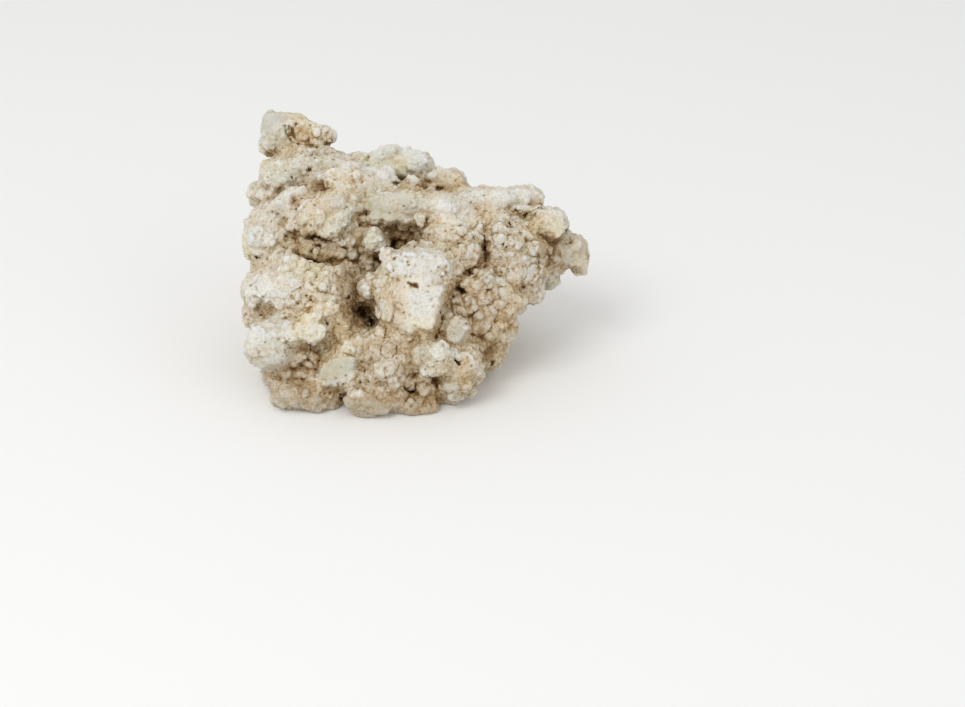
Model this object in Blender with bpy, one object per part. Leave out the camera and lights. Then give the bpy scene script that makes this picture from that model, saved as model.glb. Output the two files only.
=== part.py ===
"""Dry reef rock: one solid, in metres, +Z up, with its origin under its middle.

A block of old reef limestone, overgrown while it was alive and weathered since.
Its front leans back. A blunt knob stands on the left shoulder, a thick ledge runs
across the upper front with a hollow under it, a swollen crest fills the middle,
and a snout hangs out on the right. It rests on small flat spots under its foot.

The forms of the front are placed in a face frame, in millimetres: across the
face, up the face and out of it. Their across and up are as they look from a point
of sight far in front of the face. The forms of the back, and the heart that joins
everything, are placed in a block frame: x, y and z above the ground.
"""

import math
import random
from dataclasses import dataclass

import bmesh
import bpy
from mathutils import Matrix, Vector, noise
from mathutils.bvhtree import BVHTree

NODE = "reef_rock"
MM = 0.001

# The face leans back from upright, and its zero point is this far above the ground.
FACE_LEAN = math.radians(30.0)
GROUND_LEVEL = 22.0
LEAN = Matrix.Rotation(math.pi / 2.0 - FACE_LEAN, 4, "X")
FACE_NORMAL = LEAN @ Vector((0.0, 0.0, 1.0))

# The point of sight, in millimetres of the face frame.
SIGHT_DISTANCE = 1550.0
SIGHT_ACROSS = 46.0
SIGHT_UP = 42.0

# How finely the lumps are melted together, the cutters are, and how many facets stay.
MASS_VOXEL = 2.2 * MM
SKIN_VOXEL = 1.8 * MM
CUT_VOXEL = 1.2 * MM
SKIN_FACES = 9500

# How uneven each kind of form is, as a share of its size.
BACK_ROUGHNESS = 0.16
FRONT_ROUGHNESS = 0.13
HOLLOW_ROUGHNESS = 0.15
BACK_HOLLOW_ROUGHNESS = 0.2
POCKET_ROUGHNESS = 0.12
KNUCKLE_ROUGHNESS = 0.14
BACK_KNUCKLE_ROUGHNESS = 0.2
SWELLS_PER_FORM = 1.3

# Flats worn on a form: how many, how far from its middle, and how flat.
MASS_CHIPS = 7
KNUCKLE_CHIPS = 4
CHIP_REACH = (0.7, 0.88)
CHIP_FLATNESS = 0.85
CHIPPED_GROWTH = 1.06

# The small lumps of the back, which no one set by hand.
BACK_KNUCKLES = 80
BACK_SPACING = 14.0 * MM
BACK_RADII = (5.5 * MM, 10.0 * MM)
BACK_STRETCH = (0.75, 1.25)
BACK_STAND = (0.5, 0.9)
BACK_SUNK = 0.2
BACK_CLEARANCE = 6.0 * MM
HIDDEN_BELOW = -0.5
KNUCKLE_SUNK = 0.25
SEED = 31

# Weathering, in millimetres: how high each kind of relief is, and how far apart.
SWELL_HEIGHT = 1.6
SWELL_LENGTH = 30.0
RIDGE_HEIGHT = 1.5
RIDGE_LENGTH = 19.0
HEAD_HEIGHT = 1.3
HEAD_SPACING = 13.0
HEAD_EDGE = 0.45

LIMESTONE_COLOUR = (0.58, 0.50, 0.37, 1.0)
LIMESTONE_ROUGHNESS = 0.92


@dataclass(frozen=True)
class Blob:
    """One ellipsoid, a lump or a hollow: its middle, its half sizes and its turn in the face."""

    across: float
    up: float
    out: float
    half_across: float
    half_up: float
    half_out: float
    turn: float = 0.0


@dataclass(frozen=True)
class Spot:
    """A small form on the front, placed where a line of sight meets the skin."""

    across: float
    up: float
    half_across: float
    half_up: float
    half_out: float
    turn: float = 0.0


# Block frame: across is x, up is y towards the back, and out is z above the ground.
HEART = (
    Blob(-20, 24, 32, 72, 46, 34),
    Blob(-66, 26, 50, 34, 38, 46),
    Blob(26, 46, 64, 48, 36, 36),
    Blob(-22, 70, 90, 58, 30, 32),
    Blob(-66, 56, 92, 28, 30, 32),
    Blob(-10, 80, 54, 64, 32, 46),
    Blob(-12, 4, 14, 54, 30, 20),
    Blob(44, 54, 84, 34, 30, 26),
)
BACK = (
    Blob(-78, 72, 86, 27, 26, 27),
    Blob(-90, 54, 58, 22, 28, 26),
    Blob(-58, 94, 64, 26, 20, 24),
    Blob(-24, 103, 82, 24, 18, 20),
    Blob(6, 108, 56, 27, 19, 22),
    Blob(-34, 101, 36, 25, 20, 20),
    Blob(-74, 80, 28, 25, 26, 22),
    Blob(42, 94, 62, 26, 22, 22),
    Blob(38, 84, 86, 24, 19, 17),
    Blob(70, 76, 70, 19, 22, 19),
    Blob(52, 78, 38, 22, 24, 18),
    Blob(14, 97, 24, 27, 20, 18),
    Blob(22, 74, 15, 27, 24, 16),
    Blob(-30, 74, 11, 34, 26, 14),
    Blob(78, 58, 86, 14, 15, 13),
    Blob(2, 90, 100, 24, 17, 16),
)

# Face frame from here on.
KNOB = (
    Blob(-86.5, 194, -3, 17, 12.5, 18, -10),
    Blob(-68, 189.5, -3, 12.5, 9, 13),
    Blob(-96, 190, -5, 8.5, 9, 12),
    Blob(-96, 198, -5, 8.5, 8, 12),
    Blob(-98.5, 184.5, -6, 6.5, 5.5, 9),
    Blob(-76, 179, -8, 16, 9, 15),
)
SHOULDER = (
    Blob(-76, 167, 0, 22, 13, 20),
    Blob(-90.5, 161, 2, 15.5, 14, 20),
    Blob(-101, 149.5, 1, 10.5, 9.5, 14),
    Blob(-56, 171, 1, 12, 8, 14),
    Blob(-46, 161, 8, 22, 11, 18),
    Blob(-43, 172, 0, 6, 4, 6, 20),
)
LIP = (
    Blob(-50, 142, 16, 18, 17, 21, 12),
    Blob(-57, 128, 23, 8.5, 8, 12),
    Blob(-84, 139, 14, 22, 13, 20),
    Blob(-82, 125, 14, 15, 8, 15),
    Blob(-32, 152, 11, 15, 11, 18),
)
LOBE_UPPER = (
    Blob(-102, 131, 14, 13, 10.5, 18),
    Blob(-102, 118.5, 18, 15.5, 12.5, 19),
    Blob(-100.5, 106, 19, 10.5, 7, 13),
    Blob(-88, 112, 18, 11, 9, 14),
)
LOBE_MIDDLE = (
    Blob(-98.5, 84, 27, 18, 14.5, 23),
    Blob(-80, 88, 34, 17, 12.5, 20),
    Blob(-63, 82, 34, 12, 12, 18),
    Blob(-72, 100, 24, 16, 5.5, 14),
    Blob(-105, 67, 20, 12.5, 8, 17),
)
LOBE_LOWER = (
    Blob(-97.5, 49, 35, 18.5, 17, 25),
    Blob(-69, 62, 44, 11.5, 11.5, 16),
    Blob(-84, 57, 41, 12.5, 10.5, 18),
    Blob(-77, 43, 32, 13, 10, 17),
    Blob(-86, 28, 20, 19, 8, 17),
)
FOOT = (
    Blob(-76, 13.5, 33, 23, 11.5, 14),
    Blob(-91, 13, 30, 8.5, 8.5, 11),
    Blob(-58, 11, 28, 10, 8, 12),
    Blob(-28, 9.5, 40, 21, 11, 15),
    Blob(0, 8, 38, 17, 9.5, 13),
)
HOLE_SIDES = (
    Blob(-51, 30, 40, 15, 12, 18, 14),
    Blob(-51, 64, 34, 9, 15, 15),
    Blob(-40, 46, 42, 14, 8.5, 17),
    Blob(-47, 45, 40, 10, 8, 15),
)
CREST = (
    Blob(-1, 100, 38, 25, 14, 21, -4),
    Blob(2, 84, 42, 19, 18, 25),
    Blob(5, 68, 45, 13.5, 14, 22, -12),
    Blob(16, 97, 38, 12, 15, 18),
    Blob(-15, 80, 37, 12, 20, 19),
)
BELLY = (
    Blob(-20, 41, 45, 19, 13, 20),
    Blob(-20, 27, 43, 14, 10, 18),
    Blob(12, 40, 42, 17, 13, 20),
    Blob(31, 33, 36, 16, 14, 19),
    Blob(26, 17, 32, 13, 9, 15),
    Blob(28, 57, 38, 8.5, 10.5, 16),
)
RIGHT_FIELD = (
    Blob(20, 122, 22, 18, 11, 20),
    Blob(36, 107, 23, 14, 13, 20),
    Blob(62, 120, 20, 15, 14, 20),
    Blob(64, 96, 22, 16, 13, 20),
    Blob(79, 110, 13, 11, 11, 18),
    Blob(38, 82, 26, 14, 13, 18),
    Blob(60, 77, 21, 15, 12, 19),
    Blob(46, 60, 22, 15, 13, 18),
    Blob(76, 86, 8, 11, 10, 17),
    Blob(58, 58, 6, 13, 12, 18),
    Blob(49, 41, 12, 11, 11, 16),
    Blob(50, 133, 6, 22, 8, 20),
)
LEDGE = (
    Blob(-14, 143, 14, 24, 10.5, 26),
    Blob(18, 142, 13, 19, 10.5, 24),
    Blob(-4, 149, 5, 28, 6, 22),
    Blob(40, 146, 4, 17, 8.5, 21),
    Blob(58, 145.5, 4, 16, 8.5, 21),
    Blob(72, 147.5, 0, 13, 8.5, 17),
)
CROWN = (
    Blob(-12, 169, -14, 22, 12.5, 20),
    Blob(-15, 177, -16, 6.5, 6.5, 7),
    Blob(2, 168, -12, 10, 11, 16),
    Blob(21.5, 158.5, -11, 14.5, 9.5, 18),
)
SNOUT = (
    Blob(88, 130, 3, 15, 9.5, 18),
    Blob(102.5, 113.5, -5, 14, 11, 15),
    Blob(112, 106, -6, 8.5, 9.5, 12),
    Blob(92, 92, -13, 7, 6, 11),
    Blob(94, 102, -10, 9, 8, 12),
    Blob(86, 97, -6, 8, 8, 13),
)
MASSES = (
    KNOB + SHOULDER + LIP + LOBE_UPPER + LOBE_MIDDLE + LOBE_LOWER + FOOT + HOLE_SIDES
    + CREST + BELLY + RIGHT_FIELD + LEDGE + CROWN + SNOUT
)

HOLLOWS = (
    Blob(-36, 71.5, 42, 8, 5.5, 26, -10),
    Blob(-29.5, 65, 42, 5, 7.5, 24, 12),
    Blob(-9, 121, 26, 16, 10, 28),
    Blob(-16, 109, 30, 7, 6, 24),
    Blob(-54, 110, 40, 27, 9.5, 28),
    Blob(-31, 106, 40, 12, 9, 24),
    Blob(-66, 118.5, 28, 9, 4.5, 18),
    Blob(-77, 110.5, 34, 9, 4, 20),
    Blob(-42, 90, 58, 6, 16, 16),
    Blob(-12, 157.5, 4, 12, 3.2, 16),
    Blob(11, 153.5, 8, 14, 3, 14),
    Blob(48, 113, 42, 3.4, 14, 16),
    Blob(96, 102.5, 12, 12, 4.2, 10, -6),
    Blob(92, 114, 22, 5, 7, 12),
    Blob(-70, 42, 54, 3, 9, 11, 14),
    Blob(-84, 32, 50, 22, 3.5, 12, 8),
    Blob(-50, 12, 48, 4, 5, 16),
    Blob(-78, 70, 64, 24, 2.4, 11, -8),
    Blob(20, 60, 60, 4, 12, 11, -14),
    Blob(51, 42, 36, 4, 11, 15, -18),
    Blob(-66, 22, 54, 14, 2.4, 10),
)
BACK_HOLLOWS = (
    Blob(-48, 120, 50, 9, 14, 6),
    Blob(-6, 126, 72, 7, 13, 7),
    Blob(24, 124, 42, 12, 14, 6),
    Blob(60, 108, 78, 8, 13, 6),
    Blob(-84, 100, 58, 8, 12, 7),
    Blob(-112, 58, 80, 12, 7, 6),
    Blob(76, 98, 52, 10, 12, 5),
    Blob(-10, 120, 28, 10, 14, 5),
    Blob(-62, 108, 90, 7, 10, 7),
)

# Knuckles of the crust that stand out from the larger forms.
KNUCKLES = (
    Spot(-32, 86, 8, 8, 9),
    Spot(-28, 115, 9, 8, 12),
    Spot(-61, 122, 6, 4, 6),
    Spot(-20, 31, 8, 7, 5),
    Spot(-33, 27, 5, 5, 5),
    Spot(-45, 46, 7, 6, 5),
    Spot(-31, 50, 6, 5, 5),
    Spot(-70, 56, 8, 8, 5),
    Spot(-86, 92, 9, 7, 5),
    Spot(-66, 92, 7, 6, 5),
    Spot(-58, 73, 7, 6, 5),
    Spot(-90, 68, 6, 4, 5),
    Spot(-108, 56, 8, 8, 4),
    Spot(-95, 40, 9, 7, 5),
    Spot(-84, 150, 9, 6, 5),
    Spot(-96, 134, 8, 6, 4),
    Spot(-70, 138, 8, 6, 5),
    Spot(-58, 160, 8, 5, 5),
    Spot(-48, 102, 7, 4, 6),
    Spot(-60, 101, 8, 4, 5),
    Spot(57, 116, 6, 6, 6),
    Spot(68, 116, 6, 5, 6),
    Spot(85, 114, 6, 5, 6),
    Spot(44, 128, 5, 5, 5),
    Spot(74, 130, 8, 6, 4),
    Spot(92, 131, 9, 6, 4),
    Spot(30, 125, 5, 4, 4),
    Spot(18, 118, 7, 6, 5),
    Spot(36, 109, 7, 6, 5),
    Spot(27, 103, 6, 5, 5),
    Spot(57, 106, 6, 5, 6),
    Spot(67, 107, 6, 5, 6),
    Spot(76, 104, 5, 4, 5),
    Spot(79, 98, 8, 5, 6),
    Spot(50, 93, 4.5, 7, 6),
    Spot(61, 90, 6, 5, 6),
    Spot(41, 89, 7, 6, 6),
    Spot(60, 81, 6, 5, 5),
    Spot(68, 76, 5, 5, 5),
    Spot(62, 70, 6, 5, 5),
    Spot(47, 79, 5, 5, 5),
    Spot(38, 74, 6, 5, 5),
    Spot(25, 76, 5, 6, 4),
    Spot(52, 71, 5, 5, 5),
    Spot(47, 50, 6, 5, 5),
    Spot(38, 46, 7, 5, 5),
    Spot(40, 33, 8, 6, 6),
    Spot(15, 46, 7, 6, 4),
    Spot(10, 32, 6, 5, 4),
    Spot(-4, 30, 6, 5, 4),
    Spot(5, 22, 6, 5, 4),
    Spot(23, 20, 8, 6, 5),
    Spot(-38, 12, 9, 6, 5),
    Spot(-12, 14, 7, 5, 5),
    Spot(-86, 15, 8, 6, 5),
    Spot(-68, 12, 8, 6, 5),
    Spot(-5, 104, 9, 6, 5),
    Spot(14, 104, 8, 6, 5),
    Spot(10, 78, 9, 9, 4),
    Spot(-4, 62, 9, 6, 4),
)

# Pockets, pits and slits, each as wide as the skin's facets can still show.
POCKETS = (
    Spot(-63, 155, 6.5, 5, 9),
    Spot(-80, 191, 9, 5, 4, -38),
    Spot(-70, 186, 8, 3.4, 3),
    Spot(31, 86, 7.5, 3.5, 9, -32),
    Spot(39, 97, 7, 3.2, 9, -26),
    Spot(75, 86, 5, 3.2, 8),
    Spot(74, 68, 8, 3.4, 10, 32),
    Spot(19, 10, 6, 3.4, 9, -20),
    Spot(-1, 88.5, 6.5, 3, 7, -10),
    Spot(-35, 133, 6, 4, 7),
    Spot(64, 129, 3, 5.5, 7, 30),
    Spot(27, 36, 5, 3.2, 7, -30),
    Spot(-81, 146, 4, 4, 6),
    Spot(-72, 166, 4, 3, 6),
    Spot(-107, 106, 5, 3.2, 7),
    Spot(78, 139, 7, 3, 6, 14),
    Spot(-84, 123, 6, 3.2, 7),
    Spot(-24, 21, 7, 3, 6),
    Spot(-2, 21, 4, 5, 4, 30),
    Spot(12, 10, 9, 5, 6),
    Spot(-61, 63, 3.2, 6, 6, 35),
    Spot(44, 52, 5, 3.2, 6),
)


def clear_scene() -> None:
    """Remove every object of the scene."""
    for obj in list(bpy.data.objects):
        bpy.data.objects.remove(obj, do_unlink=True)


def face_point(across: float, up: float, out: float) -> Vector:
    """Return the place, in metres, of a point that is given in the face frame as it is seen."""
    nearness = (SIGHT_DISTANCE - out) / SIGHT_DISTANCE
    seen_across = SIGHT_ACROSS + (across - SIGHT_ACROSS) * nearness
    seen_up = SIGHT_UP + (up - SIGHT_UP) * nearness
    return MM * (LEAN @ Vector((seen_across, seen_up, out)) - Vector((0.0, 0.0, GROUND_LEVEL)))


def sized(form: Blob | Spot) -> Matrix:
    """Return the turn and the half sizes of a form, in metres."""
    turn = Matrix.Rotation(math.radians(form.turn), 4, "Z")
    halves = Matrix.Diagonal((form.half_across, form.half_up, form.half_out, 1.0))
    return Matrix.Scale(MM, 4) @ turn @ halves


def face_matrix(blob: Blob) -> Matrix:
    """Return the placing of a blob that is given in the face frame."""
    place = Matrix.Translation(face_point(blob.across, blob.up, blob.out))
    return place @ LEAN @ sized(blob)


def block_matrix(blob: Blob) -> Matrix:
    """Return the placing of a blob that is given in the block frame."""
    return Matrix.Translation(MM * Vector((blob.across, blob.up, blob.out))) @ sized(blob)


def spot_matrix(spot: Spot, skin: BVHTree, sunk: float) -> Matrix:
    """Return the placing of a spot, sunk into the skin by a share of its height.

    A spot that a line of sight meets nowhere, just past the outline, sits on the nearest skin.
    """
    eye = face_point(SIGHT_ACROSS, SIGHT_UP, SIGHT_DISTANCE)
    sight = (face_point(spot.across, spot.up, 0.0) - eye).normalized()
    place, normal, _, _ = skin.ray_cast(eye, sight)
    if place is None:
        place, normal = skin.find_nearest(face_point(spot.across, spot.up, 0.0))[:2]
    outwards = (normal - sight).normalized()
    place -= outwards * spot.half_out * sunk * MM
    stand = outwards.to_track_quat("Z", "Y").to_matrix().to_4x4()
    return Matrix.Translation(place) @ stand @ sized(spot)


def add_blob(
    bm: bmesh.types.BMesh, matrix: Matrix, roughness: float, seed: str, chips: int = 0
) -> None:
    """Add one ellipsoid whose skin swells and sinks, and is worn flat in some places."""
    ball = bmesh.ops.create_icosphere(bm, subdivisions=4, radius=1.0)
    draw = random.Random(seed)
    offset = Vector([draw.uniform(-50.0, 50.0) for _ in range(3)])
    flats = []
    for _ in range(chips):
        way = Vector([draw.gauss(0.0, 1.0) for _ in range(3)]).normalized()
        flats.append((way, draw.uniform(*CHIP_REACH)))
    for vert in ball["verts"]:
        swell = noise.fractal(vert.co * SWELLS_PER_FORM + offset, 1.0, 2.1, 3)
        vert.co *= 1.0 + roughness * swell
        for way, reach in flats:
            beyond = vert.co.dot(way) - reach
            if beyond > 0.0:
                vert.co -= way * beyond * CHIP_FLATNESS
        vert.co *= CHIPPED_GROWTH if chips else 1.0
    bmesh.ops.transform(bm, matrix=matrix, verts=ball["verts"])


def new_object(name: str, bm: bmesh.types.BMesh) -> bpy.types.Object:
    """Turn a bmesh into an object of the scene."""
    mesh = bpy.data.meshes.new(name)
    bm.to_mesh(mesh)
    bm.free()
    obj = bpy.data.objects.new(name, mesh)
    bpy.context.scene.collection.objects.link(obj)
    return obj


def apply_modifiers(obj: bpy.types.Object) -> None:
    """Replace an object's mesh by what its modifiers make of it."""
    depsgraph = bpy.context.evaluated_depsgraph_get()
    shaped = bpy.data.meshes.new_from_object(obj.evaluated_get(depsgraph))
    plain = obj.data
    obj.modifiers.clear()
    obj.data = shaped
    bpy.data.meshes.remove(plain)


def fuse(obj: bpy.types.Object, voxel: float) -> None:
    """Melt the overlapping lumps of an object into one skin."""
    remesh = obj.modifiers.new("fuse", "REMESH")
    remesh.mode = "VOXEL"
    remesh.voxel_size = voxel
    apply_modifiers(obj)


def build_masses() -> bpy.types.Object:
    """Make the large lumps of the heart, the back and the front, in one skin."""
    bm = bmesh.new()
    for blob in HEART + BACK:
        add_blob(bm, block_matrix(blob), BACK_ROUGHNESS, repr(blob), MASS_CHIPS)
    for blob in MASSES:
        add_blob(bm, face_matrix(blob), FRONT_ROUGHNESS, repr(blob), MASS_CHIPS)
    block = new_object(NODE, bm)
    fuse(block, MASS_VOXEL)
    return block


def cut_away(block: bpy.types.Object, bm: bmesh.types.BMesh) -> None:
    """Cut the forms of a bmesh out of the block."""
    cutter = new_object("hollows", bm)
    cutter.hide_render = True
    cutter.display_type = "WIRE"
    fuse(cutter, CUT_VOXEL)
    cut = block.modifiers.new("hollows", "BOOLEAN")
    cut.operation = "DIFFERENCE"
    cut.object = cutter
    apply_modifiers(block)
    bpy.data.objects.remove(cutter, do_unlink=True)


def cut_hollows(block: bpy.types.Object) -> None:
    """Cut the valley, the recesses and the crevices between the large forms."""
    bm = bmesh.new()
    for blob in HOLLOWS:
        add_blob(bm, face_matrix(blob), HOLLOW_ROUGHNESS, repr(blob))
    for blob in BACK_HOLLOWS:
        add_blob(bm, block_matrix(blob), BACK_HOLLOW_ROUGHNESS, repr(blob))
    cut_away(block, bm)


def cut_pockets(block: bpy.types.Object) -> None:
    """Cut the small pockets, pits and slits of the front."""
    skin = BVHTree.FromObject(block, bpy.context.evaluated_depsgraph_get())
    bm = bmesh.new()
    for spot in POCKETS:
        add_blob(bm, spot_matrix(spot, skin, 0.0), POCKET_ROUGHNESS, repr(spot))
    cut_away(block, bm)


def grow_back_knuckles(bm: bmesh.types.BMesh) -> None:
    """Grow small lumps over the back and the underside, spaced by a rule."""
    draw = random.Random(SEED)
    sites = sorted((tuple(vert.co), tuple(vert.normal)) for vert in bm.verts)
    draw.shuffle(sites)
    taken = []
    for site, way in sites:
        place = Vector(site)
        normal = Vector(way)
        hidden = normal.dot(FACE_NORMAL) < HIDDEN_BELOW
        if not hidden or place.z < BACK_CLEARANCE or len(taken) == BACK_KNUCKLES:
            continue
        if any((place - other).length < BACK_SPACING for other in taken):
            continue
        taken.append(place)
        radius = draw.uniform(*BACK_RADII)
        stretch = draw.uniform(*BACK_STRETCH)
        height = draw.uniform(*BACK_STAND)
        halves = Matrix.Diagonal((radius, radius * stretch, radius * height, 1.0))
        stand = normal.to_track_quat("Z", "X").to_matrix().to_4x4()
        sunk = Matrix.Translation(place - normal * radius * BACK_SUNK)
        matrix = sunk @ stand @ halves
        add_blob(bm, matrix, BACK_KNUCKLE_ROUGHNESS, str(len(taken)), KNUCKLE_CHIPS)


def grow_knuckles(block: bpy.types.Object) -> None:
    """Grow the small lumps of the back, and those set by hand on the front."""
    skin = BVHTree.FromObject(block, bpy.context.evaluated_depsgraph_get())
    bm = bmesh.new()
    bm.from_mesh(block.data)
    bm.normal_update()
    grow_back_knuckles(bm)
    for spot in KNUCKLES:
        matrix = spot_matrix(spot, skin, KNUCKLE_SUNK)
        add_blob(bm, matrix, KNUCKLE_ROUGHNESS, repr(spot), KNUCKLE_CHIPS)
    bm.to_mesh(block.data)
    bm.free()
    fuse(block, SKIN_VOXEL)


def weather(block: bpy.types.Object) -> None:
    """Wear the skin: broad swells, sharp small ridges, and the round heads of the crust."""
    bm = bmesh.new()
    bm.from_mesh(block.data)
    bm.normal_update()
    moves = []
    for vert in bm.verts:
        place = vert.co / MM
        swell = noise.fractal(place / SWELL_LENGTH, 1.0, 2.0, 3)
        ridge = noise.ridged_multi_fractal(place / RIDGE_LENGTH, 0.9, 2.1, 3, 1.0, 2.0) - 1.0
        head = HEAD_EDGE - noise.voronoi(place / HEAD_SPACING)[0][0]
        moves.append(MM * (SWELL_HEIGHT * swell + RIDGE_HEIGHT * ridge + HEAD_HEIGHT * head))
    for vert, move in zip(bm.verts, moves):
        vert.co += vert.normal * move
    bm.to_mesh(block.data)
    bm.free()
    fuse(block, SKIN_VOXEL)


def thin_out(block: bpy.types.Object) -> None:
    """Reduce the skin to broad facets, closer together where it bends."""
    decimate = block.modifiers.new("facets", "DECIMATE")
    decimate.ratio = SKIN_FACES / (2.0 * len(block.data.polygons))
    decimate.use_collapse_triangulate = True
    apply_modifiers(block)


def stand_on_ground(block: bpy.types.Object) -> None:
    """Cut the underside off level, which leaves the flat spots that the rock rests on."""
    bm = bmesh.new()
    bmesh.ops.create_cube(bm, size=1.0)
    bmesh.ops.translate(bm, verts=bm.verts, vec=(0.0, 0.0, -0.5))
    ground = new_object("ground", bm)
    ground.hide_render = True
    ground.display_type = "WIRE"
    cut = block.modifiers.new("ground", "BOOLEAN")
    cut.operation = "DIFFERENCE"
    cut.object = ground
    triangles = block.modifiers.new("triangles", "TRIANGULATE")
    triangles.min_vertices = 4
    apply_modifiers(block)
    bpy.data.objects.remove(ground, do_unlink=True)


def keep_largest(block: bpy.types.Object) -> None:
    """Drop crumbs that hang on nothing."""
    bm = bmesh.new()
    bm.from_mesh(block.data)
    unseen = set(bm.verts)
    groups = []
    while unseen:
        group = [unseen.pop()]
        for vert in group:
            for edge in vert.link_edges:
                other = edge.other_vert(vert)
                if other in unseen:
                    unseen.remove(other)
                    group.append(other)
        groups.append(group)
    groups.sort(key=len)
    for crumb in groups[:-1]:
        bmesh.ops.delete(bm, geom=crumb, context="VERTS")
    bm.to_mesh(block.data)
    bm.free()


def centre(block: bpy.types.Object) -> Vector:
    """Move the mesh so that the origin lies under the middle of its box."""
    places = [vert.co for vert in block.data.vertices]
    lowest = Vector([min(place[axis] for place in places) for axis in range(3)])
    highest = Vector([max(place[axis] for place in places) for axis in range(3)])
    shift = Vector((-(lowest.x + highest.x) / 2.0, -(lowest.y + highest.y) / 2.0, -lowest.z))
    block.data.transform(Matrix.Translation(shift))
    return shift


def finish_limestone(block: bpy.types.Object) -> None:
    """Give the rock its chalky cream surface, flat shaded."""
    material = bpy.data.materials.new("reef limestone")
    material.use_nodes = True
    shader = material.node_tree.nodes["Principled BSDF"]
    shader.inputs["Base Color"].default_value = LIMESTONE_COLOUR
    shader.inputs["Roughness"].default_value = LIMESTONE_ROUGHNESS
    shader.inputs["Metallic"].default_value = 0.0
    block.data.materials.clear()
    block.data.materials.append(material)
    block.data.shade_flat()


def main() -> None:
    """Build the rock, which keeps a note of how far its forms moved with the origin."""
    clear_scene()
    block = build_masses()
    cut_hollows(block)
    grow_knuckles(block)
    cut_pockets(block)
    weather(block)
    thin_out(block)
    stand_on_ground(block)
    keep_largest(block)
    block["face_frame_moved_by"] = centre(block)
    finish_limestone(block)


main()
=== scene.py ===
"""Dry reef rock: the looks of one lumpy block of old reef limestone.

The block's solid gives the large forms. Here its skin is grown finer: knobs, pits,
seams and grains stand where the real rock has them, placed in a face frame, in
millimetres across the face, up the face and out of it, as they look from a point of
sight far in front. The back, which no view of the real rock shows, follows rules.
"""

import logging
import math
import random
from dataclasses import dataclass, field, replace
from enum import Enum
from itertools import product

import bmesh
import bpy
import numpy as np
from mathutils import Matrix, Vector, noise
from mathutils.bvhtree import BVHTree


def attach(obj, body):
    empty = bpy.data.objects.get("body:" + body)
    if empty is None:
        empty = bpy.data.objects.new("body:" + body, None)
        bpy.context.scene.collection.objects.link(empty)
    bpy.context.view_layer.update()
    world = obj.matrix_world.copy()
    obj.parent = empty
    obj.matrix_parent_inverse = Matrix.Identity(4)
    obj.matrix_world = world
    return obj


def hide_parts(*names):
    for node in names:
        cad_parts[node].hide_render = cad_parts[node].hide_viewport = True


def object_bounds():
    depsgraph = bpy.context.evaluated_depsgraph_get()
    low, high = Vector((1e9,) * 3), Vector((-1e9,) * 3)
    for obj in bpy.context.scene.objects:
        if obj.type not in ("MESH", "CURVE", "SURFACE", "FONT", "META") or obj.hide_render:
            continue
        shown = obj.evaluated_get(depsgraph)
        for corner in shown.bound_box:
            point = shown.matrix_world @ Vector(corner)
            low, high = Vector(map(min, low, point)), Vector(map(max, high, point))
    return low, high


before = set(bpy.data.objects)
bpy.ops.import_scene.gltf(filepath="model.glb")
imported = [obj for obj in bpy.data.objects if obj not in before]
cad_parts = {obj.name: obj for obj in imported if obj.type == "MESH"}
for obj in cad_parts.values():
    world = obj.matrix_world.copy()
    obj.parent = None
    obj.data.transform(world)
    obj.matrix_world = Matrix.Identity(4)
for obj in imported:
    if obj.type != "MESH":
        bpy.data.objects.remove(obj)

SOLID_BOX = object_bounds()

LOG = logging.getLogger("reef rock")
NODE = "reef_rock"
BODY = "root"
MM = 0.001
SEED = 47
MOST_TRIANGLES = 198_000
# How many cells a random pattern in space has along each way before it repeats.
TABLE = 32

Colour = tuple[float, float, float, float]
Socket = bpy.types.NodeSocket


class Zone(Enum):
    """What a part of the skin is like; each value is the name of a mesh attribute."""

    CHALK = "chalk"
    CRUST = "crust"
    SLAB = "slab"
    # Brown stains, partly painted shade in hollows and painted shadow along the foot.
    STAIN_AND_SHADE = "stain_and_shade"
    SAGE = "sage"
    RUST = "rust"


@dataclass(frozen=True)
class Form:
    """A round or oval form of the front: its place in the face and its half sizes."""

    across: float
    up: float
    half_across: float
    half_up: float


@dataclass(frozen=True)
class Knob(Form):
    """A rounded lump, with how far it stands out and how far it is turned.

    It sits on the skin, or tops out at a level out of the face where one is given.
    """

    stand: float = 2.5
    turn: float = 0.0
    level: float | None = None


@dataclass(frozen=True)
class Pit(Form):
    """A hole or slit in the skin, with its depth."""

    depth: float
    turn: float = 0.0


@dataclass(frozen=True)
class Seam:
    """A crease that runs through points of the face."""

    points: tuple[tuple[float, float], ...]
    half_width: float
    depth: float


@dataclass(frozen=True)
class Patch(Form):
    """A soft-edged area of the skin that belongs to a zone, more or less strongly."""

    strength: float = 1.0
    turn: float = 0.0


@dataclass(frozen=True)
class Grain:
    """A size of round grain: its radii, its least spacing and how often it grows where."""

    smallest: float
    largest: float
    spacing: float
    on_crust: float
    elsewhere: float


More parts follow.
